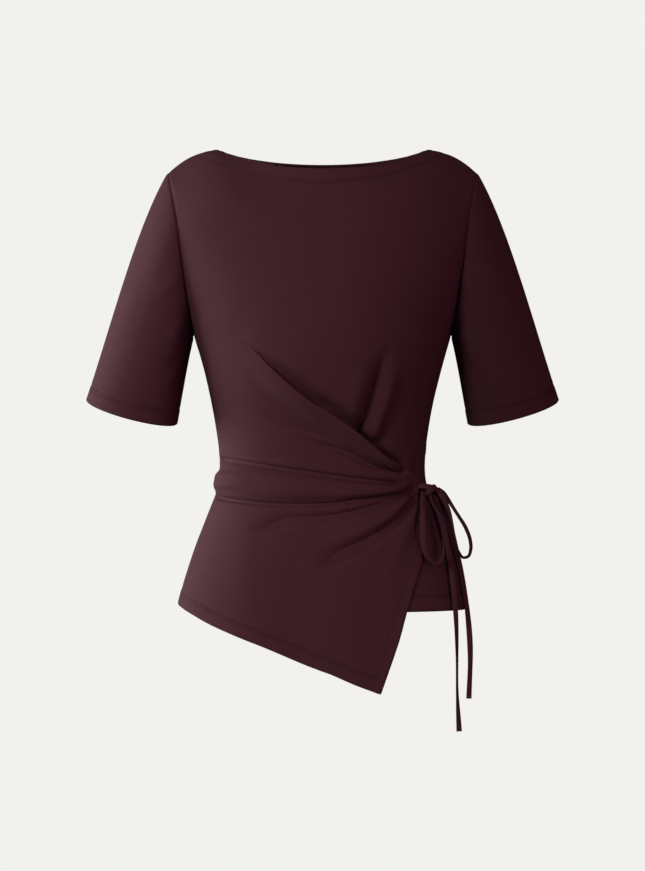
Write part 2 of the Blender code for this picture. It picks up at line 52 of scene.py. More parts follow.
# %% The camera
PIXEL = 0.00121
PICTURE_WIDTH_PX = 645
PICTURE_HEIGHT_PX = 871
SHOULDER_ROW_PX = 150.5
CAMERA_DISTANCE = 4.0
FARTHEST_SEEN = 40.0
SENSOR_MM = 36.0
CENTRE_PX = (0.5 * PICTURE_WIDTH_PX, 0.5 * PICTURE_HEIGHT_PX)
CAMERA_HEIGHT = -(CENTRE_PX[1] - SHOULDER_ROW_PX) * PIXEL

camera_data = bpy.data.cameras.new("camera")
camera_data.sensor_fit = "VERTICAL"
camera_data.sensor_height = SENSOR_MM
camera_data.lens = SENSOR_MM * CAMERA_DISTANCE / (PICTURE_HEIGHT_PX * PIXEL)
camera_data.clip_end = FARTHEST_SEEN
camera = bpy.data.objects.new("camera", camera_data)
camera.location = (0.0, -CAMERA_DISTANCE, CAMERA_HEIGHT)
camera.rotation_euler = (math.radians(90.0), 0.0, 0.0)
bpy.context.scene.collection.objects.link(camera)
bpy.context.scene.camera = camera
print("lens", round(camera_data.lens, 1), "mm")

# %% [markdown]
# A garment is drawn with smooth lines through a few measured places, as a pattern cutter draws
# with a curved ruler. These helpers do that: one reads a table of sizes between its rows, one
# runs a smooth route through a few points, and the rest turn and blend numbers.

# %% Small helpers for curves and directions
FINE_STEPS = 12
TINY = 1e-12


def smooth_table(table, x):
    """Reads a table at x with a smooth curve through its rows."""
    rows = np.array(table, float)
    rows = rows[np.argsort(rows[:, 0])]
    keys = rows[:, 0]
    slopes = np.gradient(rows[:, 1:], keys, axis=0)
    at = np.clip(np.asarray(x, float), keys[0], keys[-1])
    left = np.clip(np.searchsorted(keys, at, side="right") - 1, 0, len(keys) - 2)
    span = (keys[left + 1] - keys[left])[..., None]
    t = ((at - keys[left])[..., None]) / span
    low, high = rows[left, 1:], rows[left + 1, 1:]
    return (low * (2 * t**3 - 3 * t**2 + 1) + high * (3 * t**2 - 2 * t**3)
            + span * (slopes[left] * (t**3 - 2 * t**2 + t) + slopes[left + 1] * (t**3 - t**2)))


def smooth_route(points, count):
    """Points at even steps along a smooth curve through the given ones."""
    points = np.array(points, float)
    along = np.concatenate([[0.0], np.cumsum(np.linalg.norm(np.diff(points, axis=0), axis=1))])
    table = np.column_stack([along, points])
    fine = smooth_table(table, np.linspace(0.0, along[-1], FINE_STEPS * count))
    length = np.concatenate([[0.0], np.cumsum(np.linalg.norm(np.diff(fine, axis=0), axis=1))])
    even = np.linspace(0.0, length[-1], count)
    return np.column_stack([np.interp(even, length, column) for column in fine.T])


def unit(vectors):
    """The same directions with a length of one."""
    vectors = np.asarray(vectors, float)
    return vectors / np.maximum(np.linalg.norm(vectors, axis=-1, keepdims=True), TINY)


def ease(t):
    """Rises smoothly from 0 to 1 while t does."""
    t = np.clip(t, 0.0, 1.0)
    return t * t * (3.0 - 2.0 * t)


def signed_power(value, power):
    """A power that keeps the sign. Below 1 it makes a round section squarer."""
    return np.sign(value) * np.abs(value) ** power


# %% [markdown]
# All the cloth follows one form, a body with nobody in it. It could be sculpted, but a short
# table of girths is easier to measure and to change. Each section is a little squarer than an
# ellipse, because a rib cage is. The front and the back are open at the armholes and the neck.

# %% The sizes of the body
NECK_HALF = 0.132
# in a size that differs by side, -1 is the front and 1 the back
NECK_DROP = {-1: 0.0276, 1: 0.013}
NECK_DEPTH = {-1: 0.070, 1: 0.058}
SHOULDER_HALF = 0.187
SHOULDER_Z = -0.0266
UNDERARM_Z = -0.225
HEM_Z = -0.553
ARMHOLE_DEPTH = {-1: 0.050, 1: 0.056}
# power of the armhole's curve at the shoulder, and how much it grows to the underarm
ARMHOLE_CURVE = (0.6, 0.5)
SHOULDER_ROUND = 0.075
SECTION_POWER = 0.87
# height, half width, depth of the front, depth of the back
SECTIONS = (
    (0.000, 0.1875, 0.066, 0.070), (-0.028, 0.1875, 0.074, 0.078),
    (-0.054, 0.1830, 0.082, 0.088), (-0.100, 0.1750, 0.094, 0.099),
    (-0.139, 0.1680, 0.104, 0.103), (-0.176, 0.1625, 0.112, 0.103),
    (-0.226, 0.1550, 0.117, 0.102), (-0.256, 0.1460, 0.118, 0.099),
    (-0.300, 0.1350, 0.108, 0.093), (-0.336, 0.1283, 0.097, 0.088),
    (-0.365, 0.1246, 0.092, 0.085), (-0.395, 0.1245, 0.090, 0.084),
    (-0.423, 0.1313, 0.092, 0.087), (-0.452, 0.1420, 0.095, 0.093),
    (-0.481, 0.1530, 0.098, 0.099), (-0.510, 0.1627, 0.101, 0.104),
    (-0.560, 0.1765, 0.104, 0.108), (-0.660, 0.1800, 0.106, 0.110),
)
# height, distance of the armhole seam from the middle
ARMHOLE = (
    (-0.0266, 0.1870), (-0.0750, 0.1768), (-0.1355, 0.1680), (-0.1770, 0.1620), (-0.2250, 0.1550),
)
print(len(SECTIONS), "sections, widest", 2.0 * max(half for _, half, _, _ in SECTIONS), "m")

# %% Points on the form


def armhole_turn(z):
    """Half turn down the armhole: 0 at the shoulder, pi at the underarm."""
    middle = 0.5 * (SHOULDER_Z + UNDERARM_Z)
    reach = 0.5 * (SHOULDER_Z - UNDERARM_Z)
    return np.arccos(np.clip((z - middle) / reach, -1.0, 1.0))


def body_point(share, z, armhole_z, side, top_z=0.0, top_y=0.0):
    """A point of the body: share is -1 to 1 across the panel, side -1 in front and 1 behind.

    The armhole's height is that of the row where it meets the armhole seam.
    """
    share, z, armhole_z = np.broadcast_arrays(share, z, armhole_z)
    half, front, back = np.moveaxis(smooth_table(SECTIONS, z), -1, 0)
    depth = front if side < 0 else back
    down = armhole_turn(armhole_z)
    curve = ARMHOLE_CURVE[0] + ARMHOLE_CURVE[1] * ease(down / math.pi)
    edge_y = ARMHOLE_DEPTH[side] * np.sin(down) ** curve
    edge_y = np.where((armhole_z > UNDERARM_Z) & (armhole_z < SHOULDER_Z), edge_y, 0.0)
    edge_x = np.where(armhole_z > UNDERARM_Z, smooth_table(ARMHOLE, armhole_z)[..., 0], half)
    limit = np.arccos(np.clip(edge_y / depth, 0.0, 1.0) ** (1.0 / SECTION_POWER))
    half = edge_x / np.sin(limit) ** SECTION_POWER
    turn = share * limit
    x = half * signed_power(np.sin(turn), SECTION_POWER)
    y = side * depth * np.abs(np.cos(turn)) ** SECTION_POWER
    rounding = np.clip((top_z - z) / SHOULDER_ROUND, 0.0, 1.0)
    y = top_y + (y - top_y) * np.sqrt(1.0 - (1.0 - rounding) ** 2)
    return np.stack([x, y, z], axis=-1)


def form_point(angle, z, side=-1):
    """A point of the form by the angle round it in degrees, 0 in the middle of that side."""
    half, front, back = np.moveaxis(smooth_table(SECTIONS, z), -1, 0)
    depth = front if side < 0 else back
    turn = np.radians(angle)
    x = half * signed_power(np.sin(turn), SECTION_POWER)
    y = side * depth * np.abs(np.cos(turn)) ** SECTION_POWER
    return np.stack([x, y, np.broadcast_to(z, x.shape)], axis=-1)


# %% [markdown]
# A fold is easiest to place where the photograph shows it. A spot in the picture is a line of
# sight, and the form is curved, so the place where the two meet is found in a few rounds: guess
# how far back the form lies, see where the line of sight is there, and look up the form again.

# %% From the picture to the form
FIRST_GUESS_Y = -0.09
SIGHT_ROUNDS = 30


def sighted(spots):
    """Angles and heights on the form of what the camera sees at these pixels."""
    spots = np.array(spots, float)
    y = np.full(len(spots), FIRST_GUESS_Y)
    for _ in range(SIGHT_ROUNDS):
        scale = PIXEL * (CAMERA_DISTANCE + y) / CAMERA_DISTANCE
        x = (spots[:, 0] - CENTRE_PX[0]) * scale
        z = CAMERA_HEIGHT + (CENTRE_PX[1] - spots[:, 1]) * scale
        half, front, _ = np.moveaxis(smooth_table(SECTIONS, z), -1, 0)
        share = np.clip(np.abs(x) / half, 0.0, 1.0)
        turn = np.arcsin(share ** (1.0 / SECTION_POWER))
        y = -front * np.cos(turn) ** SECTION_POWER
    return np.column_stack([np.degrees(turn) * np.sign(x), z])


# %% [markdown]
# A fold in drawn jersey is a soft ridge that runs out from where the cloth is held, wide and
# low at its far end and narrow near the tie. Simulated cloth rarely puts it where a photograph
# does, so each fold here is one given row: a path, a height, a width on each side, how
# the width changes, how far it fades, and its profile. A crease is a narrow fold with a height
# below zero. Heights and widths are in metres.

# %% How folds shape the cloth
# metres for a degree round the body, so that a route can mix angles with heights
ANGLE_SCALE = 0.002
PATH_POINTS = 48
SOFT, CREASED, ROLLED = 2.0, 1.25, 4.5


def path_on_form(rows, side=-1):
    """Points along a smooth line on the form, through rows of angle and height."""
    rows = np.array(rows, float) * (ANGLE_SCALE, 1.0)
    path = smooth_route(rows, PATH_POINTS)
    return form_point(path[:, 0] / ANGLE_SCALE, path[:, 1], side)


def distance_to_path(points, path):
    """Distance to a path, the share of its length there, and the side: above zero to its left."""
    lengths = np.linalg.norm(np.diff(path, axis=0), axis=1)
    before = np.concatenate([[0.0], np.cumsum(lengths)])
    best = np.full(points.shape[:-1], np.inf)
    share = np.zeros(points.shape[:-1])
    side = np.ones(points.shape[:-1])
    outward = points * (1.0, 1.0, 0.0)
    for start, end, length, done in zip(path[:-1], path[1:], lengths, before):
        offset = points - start
        t = np.clip(offset @ (end - start) / length**2, 0.0, 1.0)
        gap = np.linalg.norm(offset - t[..., None] * (end - start), axis=-1)
        nearer = gap < best
        best = np.where(nearer, gap, best)
        share = np.where(nearer, (done + t * length) / before[-1], share)
        turned = np.sum(np.cross(np.broadcast_to(end - start, offset.shape), offset) * outward, -1)
        side = np.where(nearer, np.sign(turned), side)
    return best, share, side


def faded(share, length):
    """Grows from 0 to 1 over the first part of a path, or is 1 all along if that part is nothing."""
    return ease(share / length) if length > 0.0 else 1.0


def fold_relief(points, folds, side=-1):
    """The height of all the folds in a table at each point of a piece."""
    relief = np.zeros(points.shape[:-1])
    for row in folds:
        spots, rise, left, right, far_scale, fade_in, fade_out, power = row
        rows = sighted(spots) if side < 0 else spots
        gap, share, hand = distance_to_path(points, path_on_form(rows, side))
        width = np.where(hand > 0, left, right) * (1.0 + (far_scale - 1.0) * share)
        fade = faded(share, fade_in) * faded(1.0 - share, fade_out)
        relief += rise * fade * np.exp(-(gap / width) ** power)
    return relief


# %% [markdown]
# A cloth shell has an outside, an inside and a rounded rim between them, so that hems look
# like folded cloth and not like cut card. The same function closes flat panels and tubes.

# %% Turning a grid of points into a shell of cloth
RIM_BULGE = 0.45


def grid_normals(points, outward):
    """Directions square to a grid of points, on the side that outward points to."""
    down = np.gradient(points, axis=0)
    across = np.gradient(points, axis=1)
    normals = unit(np.cross(across, down))
    return normals * np.sign(np.sum(normals * outward))


def edge_loops(rows, columns, closed):
    """The rows of point numbers along each open edge, and those one step in from it."""
    index = np.arange(rows * columns).reshape(rows, columns)
    if closed:
        return [(index[0], index[1]), (index[-1][::-1], index[-2][::-1])]
    edge = np.concatenate([index[0, :-1], index[:-1, -1], index[-1, :0:-1], index[:0:-1, 0]])
    near = np.clip(edge // columns, 1, rows - 2) * columns + np.clip(edge % columns, 1, columns - 2)
    return [(edge, near)]


def mesh_piece(name, points, faces, cloth_map):
    """A smooth mesh with a UV map named cloth, which has one row for each point."""
    mesh = bpy.data.meshes.new(name)
    mesh.from_pydata(points.tolist(), [], faces)
    mesh.shade_smooth()
    layer = mesh.uv_layers.new(name="cloth")
    corners = np.zeros(len(mesh.loops), int)
    mesh.loops.foreach_get("vertex_index", corners)
    layer.data.foreach_set("uv", cloth_map[corners].ravel().astype("f4"))
    made = bpy.data.objects.new(name, mesh)
    bpy.context.scene.collection.objects.link(made)
    return made


# %% A shell of cloth


def cloth_shell(name, outer, normals, thickness, across, down, sewn, closed=False):
    """A closed shell, with a UV map in metres of cloth: across the piece, and down it.

    Each point also keeps how far it lies outside the line that its hem is sewn on.
    """
    rows, columns = outer.shape[:2]
    thickness = np.broadcast_to(thickness, outer.shape[:2])
    inner = outer - thickness[..., None] * normals
    count = rows * columns
    points = [outer.reshape(-1, 3), inner.reshape(-1, 3)]
    flat = np.stack(np.broadcast_arrays(across, down), -1).reshape(-1, 2)
    maps = [flat, flat]
    sewn = np.broadcast_to(sewn, (rows, columns)).reshape(-1)
    gaps = [sewn, sewn]
    index = np.arange(count).reshape(rows, columns)
    right = np.roll(index, -1, axis=1) if closed else index[:, 1:]
    left = index if closed else index[:, :-1]
    quads = np.stack([left[:-1], left[1:], right[1:], right[:-1]], -1).reshape(-1, 4)
    faces = [quads, quads[:, ::-1] + count]
    total = 2 * count
    outer_flat, inner_flat = points[0], points[1]
    wall = thickness.reshape(-1)
    for edge, near in edge_loops(rows, columns, closed):
        away = unit(outer_flat[edge] - outer_flat[near])
        rim = 0.5 * (outer_flat[edge] + inner_flat[edge]) + RIM_BULGE * wall[edge][:, None] * away
        points.append(rim)
        maps.append(flat[edge])
        gaps.append(sewn[edge])
        here = np.arange(len(edge)) + total
        nxt, rim_next = np.roll(edge, -1), np.roll(here, -1)
        faces.append(np.stack([edge, nxt, rim_next, here], -1))
        faces.append(np.stack([here, rim_next, nxt + count, edge + count], -1))
        total += len(edge)
    points = np.concatenate(points)
    faces = np.concatenate(faces)
    a, b, c = (points[faces[0, corner]] for corner in (0, 1, 2))
    if np.dot(np.cross(b - a, c - a), normals[0, 0]) < 0.0:
        faces = faces[:, ::-1]
    made = mesh_piece(name, points, faces.tolist(), np.concatenate(maps))
    stored = made.data.attributes.new("sewn_gap", "FLOAT", "POINT")
    stored.data.foreach_set("value", np.concatenate(gaps).astype("f4"))
    areas = np.array([polygon.area for polygon in made.data.polygons])
    print(name, len(areas), "faces,", round(0.5 * float(areas.sum()), 3), "square metres of cloth")
    return made


# %% [markdown]
# Jersey is a knit of very fine upright ribs. From a step away it reads as a smooth matte cloth.
# Its colour is a touch uneven, as dyed yarn is: stretched noise mixes two burgundies. The ribs
# are a fine relief that follows the cloth's own map, and a broader, softer relief stands for the
# small unevenness of worn cloth. Seen this small, modelled ribs would only cost faces.
#
# Where a hem is sewn, two threads press the cloth down. The stitches themselves are modelled
# further on. The groove they lie in is narrower than the mesh's faces, so the material draws it
# from the distance that each point of the cloth keeps to its hem's line, as a bump and as painted
# shade that darkens the colour along the groove.

# %% A helper for nodes


def add_node(tree, kind, values=(), **settings):
    """Adds a node with its settings, and with values on the sockets that are named."""
    node = tree.nodes.new(kind)
    for setting, value in settings.items():
        setattr(node, setting, value)
    for socket, value in dict(values).items():
        node.inputs[socket].default_value = value
    return node


# %% The two lines of a twin needle
TWIN_NEEDLE = 0.0032
NEEDLE_LINE = 0.0011


def sewn_lines(tree):
    """Gives 1 on the two lines of a twin needle and 0 away from them."""
    links = tree.links
    gap = add_node(tree, "ShaderNodeAttribute", attribute_name="sewn_gap")
    both = add_node(tree, "ShaderNodeMath", operation="MAXIMUM")
    for place, offset in enumerate((0.0, TWIN_NEEDLE)):
        shifted = add_node(tree, "ShaderNodeMath", {1: offset}, operation="ADD")
        away = add_node(tree, "ShaderNodeMath", operation="ABSOLUTE")
        line = add_node(tree, "ShaderNodeMapRange",
                        {"From Min": 0.0, "From Max": NEEDLE_LINE, "To Min": 1.0, "To Max": 0.0},
                        interpolation_type="SMOOTHSTEP")
        links.new(gap.outputs["Fac"], shifted.inputs[0])
        links.new(shifted.outputs["Value"], away.inputs[0])
        links.new(away.outputs["Value"], line.inputs["Value"])
        links.new(line.outputs["Result"], both.inputs[place])
    return both.outputs["Value"]


# %% The colour of the jersey, with painted shade in its sewn grooves
SLUB_SCALE = (28.0, 28.0, 260.0)
SLUB_DETAIL = 4.0
# painted shade: along the sewn grooves the colour is darkened to this share of the deeper burgundy
GROOVE_PAINTED_SHADE = 0.86


def dyed_yarn_and_groove_shade(tree, place, light, deep, lines):
    """The cloth's colour, mixed from two, with painted shade that darkens it along the sewn lines' grooves.
    """
    links = tree.links
    slub = add_node(tree, "ShaderNodeMapping", {"Scale": SLUB_SCALE})
    mottle = add_node(tree, "ShaderNodeTexNoise", {"Scale": 1.0, "Detail": SLUB_DETAIL})
    dye = add_node(tree, "ShaderNodeMix", data_type="RGBA")
    dye.inputs["A"].default_value = light
    dye.inputs["B"].default_value = deep
    links.new(place.outputs["Object"], slub.inputs["Vector"])
    links.new(slub.outputs["Vector"], mottle.inputs["Vector"])
    links.new(mottle.outputs["Fac"], dye.inputs["Factor"])
    if lines is None:
        return dye.outputs["Result"]
    # painted shade of the sewn grooves, mixed in where the lines are
    shaded = add_node(tree, "ShaderNodeMix", data_type="RGBA")
    shaded.inputs["B"].default_value = [GROOVE_PAINTED_SHADE * value for value in deep[:3]] + [1.0]
    links.new(lines, shaded.inputs["Factor"])
    links.new(dye.outputs["Result"], shaded.inputs["A"])
    return shaded.outputs["Result"]


# %% The relief of the jersey
NEEDLE_DEPTH = 0.0004
CRUMPLE_SIZE = 0.022
CRUMPLE_DEPTH = 0.0005
CRUMPLE_DETAIL = 2.0
RIB_WIDTH = 0.0006
RIB_DEPTH = 0.00002
RIB_WANDER = 1.2
# the width of a wave texture's band at a scale of one
WAVE_BAND = 0.1 * math.pi


def knit_relief(tree, place, crumple_depth, lines):
    """Grooves, then crumple, then ribs, each on top of the one before."""
    links = tree.links
    groove = add_node(tree, "ShaderNodeBump", {"Strength": 1.0, "Distance": -NEEDLE_DEPTH})
    if lines is not None:
        links.new(lines, groove.inputs["Height"])
    crumple = add_node(tree, "ShaderNodeTexNoise",
                       {"Scale": 1.0 / CRUMPLE_SIZE, "Detail": CRUMPLE_DETAIL})
    soft = add_node(tree, "ShaderNodeBump", {"Strength": 1.0, "Distance": crumple_depth})
    ribs = add_node(tree, "ShaderNodeTexWave",
                    {"Scale": WAVE_BAND / RIB_WIDTH, "Distortion": RIB_WANDER, "Detail": 1.0},
                    wave_type="BANDS", bands_direction="X")
    knit = add_node(tree, "ShaderNodeBump", {"Strength": 1.0, "Distance": RIB_DEPTH})
    links.new(place.outputs["Object"], crumple.inputs["Vector"])
    links.new(crumple.outputs["Fac"], soft.inputs["Height"])
    links.new(groove.outputs["Normal"], soft.inputs["Normal"])
    links.new(place.outputs["UV"], ribs.inputs["Vector"])
    links.new(ribs.outputs["Fac"], knit.inputs["Height"])
    links.new(soft.outputs["Normal"], knit.inputs["Normal"])
    return knit.outputs["Normal"]


# %% The jersey, the strap and the thread
BURGUNDY = (0.0720, 0.0120, 0.0225, 1.0)
BURGUNDY_DEEP = (0.0620, 0.0095, 0.0185, 1.0)
THREAD = (0.0600, 0.0070, 0.0160, 1.0)


def jersey_material(name, light, deep, roughness, crumple_depth, sewn=False):
    material = bpy.data.materials.new(name)
    material.use_nodes = True
    tree = material.node_tree
    shader = tree.nodes["Principled BSDF"]
    shader.inputs["Roughness"].default_value = roughness
    place = add_node(tree, "ShaderNodeTexCoord")
    lines = sewn_lines(tree) if sewn else None
    tree.links.new(dyed_yarn_and_groove_shade(tree, place, light, deep, lines), shader.inputs["Base Color"])
    tree.links.new(knit_relief(tree, place, crumple_depth, lines), shader.inputs["Normal"])
    return material


JERSEY = jersey_material("jersey", BURGUNDY, BURGUNDY_DEEP, 0.88, CRUMPLE_DEPTH, sewn=True)
STRAP = jersey_material("tie_strap", BURGUNDY, BURGUNDY_DEEP, 0.85, 0.0)
STITCH = jersey_material("stitch_thread", THREAD, BURGUNDY_DEEP, 0.50, 0.0)
print("materials:", JERSEY.name, STRAP.name, STITCH.name)


def finish_piece(piece, material, node):
    """Gives a piece its material, hangs it on the root, and hides the solid it stands for."""
    piece.data.materials.append(material)
    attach(piece, "root")
    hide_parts(node)


# %% [markdown]
# The front and the back are the same kind of grid: columns across, rows from the neck and
# shoulder line down past the armhole to the hem. A maker turns a hem up and sews it, and sews
# two pieces together face to face. So each seam here is a shallow dip where the pieces turn in to
# meet, and each hem is doubled cloth with a pressed line at its stitches.

# %% Sizes of seams and hems
CLOTH = 0.0009
HEM_CLOTH = 0.0019
SEAM_GAP = 0.0003
SEAM_DIP = 0.0012
SEAM_WIDTH = 0.0022
STITCH_DIP = 0.00035
STITCH_DIP_WIDTH = 0.0022
HEM_STEP = 0.0003
HEM_STEP_WIDTH = 0.003
HEM_BLEND = 0.002
NECK_HEM = 0.0175
SLEEVE_HEM = 0.018
BODY_HEM = 0.019
WRAP_HEM_WIDTH = 0.016
FREE_EDGE_HEM = 0.0115
NO_HEM = 1.0
EDGE_STITCH_TOP = -0.432


def seam_dip(distance):
    """How far the cloth sinks by its distance from a seam."""
    return SEAM_DIP * np.exp(-(distance / SEAM_WIDTH) ** 2)


def hem_dip(distance, hem):
    """The pressed line of a hem's stitches, and the slight step of the doubled cloth above it."""
    line = STITCH_DIP * np.exp(-((distance - hem) / STITCH_DIP_WIDTH) ** 2)
    return line - HEM_STEP * ease((hem - distance) / HEM_STEP_WIDTH)


def wall_thickness(*edges):
    """Single cloth, or doubled where it lies within a hem: edges are pairs of distance and hem."""
    doubled = np.max([ease((hem - distance) / HEM_BLEND) for distance, hem in edges], axis=0)
    return CLOTH + (HEM_CLOTH - CLOTH) * doubled


def lengths_along(points, axis):
    """The length of cloth from the start of each row or column to each point."""
    steps = np.linalg.norm(np.diff(points, axis=axis), axis=-1)
    zero = np.zeros_like(np.take(steps, [0], axis=axis))
    return np.concatenate([zero, np.cumsum(steps, axis=axis)], axis=axis)


# %% [markdown]
# The form is the same on both sides, but the top is not. Under the tie the cloth stands out from
# the hip, and at the other side the hem hangs a little higher. The grid also turns sharply where
# the armhole ends, which would show as a kink, so the rows near there are evened out.

# %% Where the body's grid stands off the form
HIP_FULLNESS = 0.0100
HIP_TOP, HIP_RISE = -0.404, 0.030
HIP_FOOT, HIP_FALL = -0.553, 0.085
# share across the panel where the fullness starts, and how far it takes to grow
HIP_START, HIP_SPREAD = 0.45, 0.55
CORNER_RISE = 0.0060
CORNER_START, CORNER_SPREAD = 0.70, 0.30
SOFTENED_ROWS = 22
SOFTEN_EDGE_ROWS = 6.0
SOFTEN_TIMES = 120
SOFTEN_SHARE = 0.5
SEAM_SHARE = 0.10


def hip_fullness(z):
    """How far the cloth below the tie stands out to the side."""
    return HIP_FULLNESS * ease((HIP_TOP - z) / HIP_RISE) * ease((z - HIP_FOOT) / HIP_FALL)


def soften_rows(points, row):
    """Evens out a grid round one row, all but the columns at its seams."""
    shares = np.linspace(-1.0, 1.0, points.shape[1])
    free = ease((1.0 - np.abs(shares)) / SEAM_SHARE)[None, :, None]
    places = np.arange(len(points))[:, None, None]
    free = free * ease((SOFTENED_ROWS - np.abs(places - row)) / SOFTEN_EDGE_ROWS)
    for _ in range(SOFTEN_TIMES):
        even = points.copy()
        even[1:-1] = 0.5 * (points[2:] + points[:-2])
        points = points + SOFTEN_SHARE * free * (even - points)
    return points


def stand_off(points, shares):
    """The hip's fullness at the wearer's left, and the hem's lift at the wearer's right."""
    points[..., 0] += hip_fullness(points[..., 2]) * ease((shares - HIP_START) / HIP_SPREAD)
    points[..., 2] += (CORNER_RISE * ease((-shares - CORNER_START) / CORNER_SPREAD)
                       * ease((UNDERARM_Z - points[..., 2]) / (UNDERARM_Z - HEM_Z)))


# %% The line of the neck and the shoulders
NECK_CURVE_Z, NECK_CURVE_Y = 0.85, 0.75


def top_line(shares, side):
    """Across, up and forward or back: the line of the neck and the shoulder seams."""
    top_x = SHOULDER_HALF * np.sin(np.abs(shares) * 0.5 * math.pi) ** SECTION_POWER
    across_neck = np.clip(1.0 - (top_x / NECK_HALF) ** 2, 0.0, 1.0)
    along_shoulder = np.clip((top_x - NECK_HALF) / (SHOULDER_HALF - NECK_HALF), 0.0, 1.0)
    top_z = -NECK_DROP[side] * across_neck**NECK_CURVE_Z + SHOULDER_Z * along_shoulder**2
    top_y = side * NECK_DEPTH[side] * across_neck**NECK_CURVE_Y
    return top_x, top_y, top_z


# %% The grid of a body panel
BODY_COLUMNS = 150
ARMHOLE_ROWS = 64
BODY_ROWS = 96
# the columns lie closer near the sides, where the form turns fastest
COLUMN_REACH = 0.86
# the neck's curve fades out of the rows over this height
NECK_FADE = 0.110


def panel_grid(side):
    """Outer points, normals and shoulder columns of the front (side -1) or the back (side 1)."""
    shares = np.sin(0.5 * math.pi * np.linspace(-1.0, 1.0, BODY_COLUMNS + 1) * COLUMN_REACH)
    shares /= shares[-1]
    turns = np.linspace(0.0, math.pi, ARMHOLE_ROWS + 1)
    middle = 0.5 * (SHOULDER_Z + UNDERARM_Z)
    armhole = middle + 0.5 * (SHOULDER_Z - UNDERARM_Z) * np.cos(turns)
    rows = np.concatenate([armhole, np.linspace(UNDERARM_Z, HEM_Z, BODY_ROWS + 1)[1:]])
    top_x, top_y, top_z = top_line(shares, side)
    fade = np.clip(1.0 - (SHOULDER_Z - rows) / NECK_FADE, 0.0, 1.0)
    heights = rows[:, None] + (top_z - SHOULDER_Z)[None, :] * fade[:, None]
    points = body_point(shares[None, :], heights, rows[:, None], side, top_z[None, :], top_y[None, :])
    stand_off(points, shares[None, :])
    rise = ease(1.0 - (top_z[None, :] - heights) / SHOULDER_ROUND)
    points[..., 0] += rise * (np.sign(shares) * top_x - points[0, :, 0])[None, :]
    points = soften_rows(points, ARMHOLE_ROWS)
    outward = np.zeros_like(points)
    outward[..., 1] = side
    normals = grid_normals(points, outward)
    on_shoulder = top_x >= NECK_HALF
    normals[0, on_shoulder, 1] = 0.0
    for column in (0, -1):
        normals[ARMHOLE_ROWS + 1:, column, 1] = 0.0
        normals[:ARMHOLE_ROWS + 1, column] = armhole_radial(points[:ARMHOLE_ROWS + 1, column])
    return points, unit(normals), on_shoulder


# %% The armhole and the edges of a panel


def armhole_radial(points):
    """Directions from the armhole's middle line out to its seam."""
    along = unit([SHOULDER_HALF - ARMHOLE[-1][1], 0.0, SHOULDER_Z - UNDERARM_Z])
    flip = np.array([np.sign(points[0, 0]), 1.0, 1.0])
    middle = np.array([0.5 * (SHOULDER_HALF + ARMHOLE[-1][1]), 0.0, 0.5 * (SHOULDER_Z + UNDERARM_Z)])
    offset = points * flip - middle
    radial = np.sum(offset * along, axis=-1)[:, None] * along / (0.5 * (SHOULDER_Z - UNDERARM_Z))
    radial[:, 1] = offset[:, 1] / ARMHOLE_DEPTH[1]
    return unit(radial) * flip


def panel_edges(points, on_shoulder):
    """Distances of each point from the side and shoulder seams, from the neck, and from the hem."""
    across = lengths_along(points, 1)
    down = lengths_along(points, 0)
    from_sides = np.minimum(across, across[:, -1:] - across)
    from_seams = np.where(on_shoulder[None, :], np.minimum(from_sides, down), from_sides)
    from_neck = distance_to_path(points, points[0, ~on_shoulder])[0]
    return from_seams, from_neck, down[-1:, :] - down


# %% Sewing up a body panel


def sew_panel(name, node, points, normals, edges, relief):
    """Gives a panel its seams, its two hems and its wall, and returns it with its outer points."""
    from_seams, from_neck, from_hem = edges
    height = relief - seam_dip(from_seams) - hem_dip(from_neck, NECK_HEM) - hem_dip(from_hem, BODY_HEM)
    shaped = points + normals * height[..., None]
    wall = wall_thickness((from_neck, NECK_HEM), (from_hem, BODY_HEM))
    sewn = np.minimum(from_neck - NECK_HEM, from_hem - BODY_HEM)
    across = lengths_along(points, 1)
    across -= across[:, [BODY_COLUMNS // 2]]
    panel = cloth_shell(name, shaped, normals, wall, across, points[..., 2], sewn)
    finish_piece(panel, JERSEY, node)
    return panel, shaped


# %% [markdown]
# The over panel is a fan: rays run from the tie to its far edge, so that folds drawn to the
# tie lie along its rows. A square grid would cut across the folds and show steps in them. The
# rays lie closest together where the creases are. Under the panel the front is sunk a little,
# which leaves it room.

# %% The over panel's rays, from the tie outwards
# angle round the body, height
FOLD_RAY = (
    (62.7, -0.3981), (51.6, -0.3872), (35.6, -0.3736), (17.3, -0.3448), (-0.7, -0.3120),
    (-23.4, -0.2614), (-33.0, -0.2380), (-48.0, -0.2290), (-68.0, -0.2290), (-90.0, -0.2340),
)
UPPER_RAY = (
    (63.7, -0.4005), (45.1, -0.3910), (26.1, -0.3810), (9.8, -0.3679), (-9.5, -0.3419),
    (-29.5, -0.3135), (-58.0, -0.2823), (-90.0, -0.2680),
)
BAND_TOP_RAY = (
    (64.7, -0.4030), (44.8, -0.4025), (20.0, -0.3971), (-8.3, -0.3885), (-32.1, -0.3822),
    (-52.1, -0.3776), (-90.0, -0.3710),
)
BAND_FOOT_RAY = (
    (65.7, -0.4055), (31.8, -0.4116), (4.0, -0.4216), (-18.1, -0.4235), (-56.5, -0.4182),
    (-90.0, -0.4130),
)
HIP_RAY = (
    (66.6, -0.4080), (30.8, -0.4237), (3.8, -0.4380), (-20.5, -0.4525), (-36.2, -0.4576),
    (-90.0, -0.4630),
)
CORNER_RAY = (
    (67.4, -0.4105), (42.0, -0.4290), (18.0, -0.4540), (-10.0, -0.4860), (-46.0, -0.5200),
    (-90.0, -0.5475),
)
SWEEP_RAY = (
    (68.4, -0.4128), (44.5, -0.4400), (27.9, -0.4626), (10.0, -0.5000), (-7.0, -0.5330),
    (-37.9, -0.5776),
)
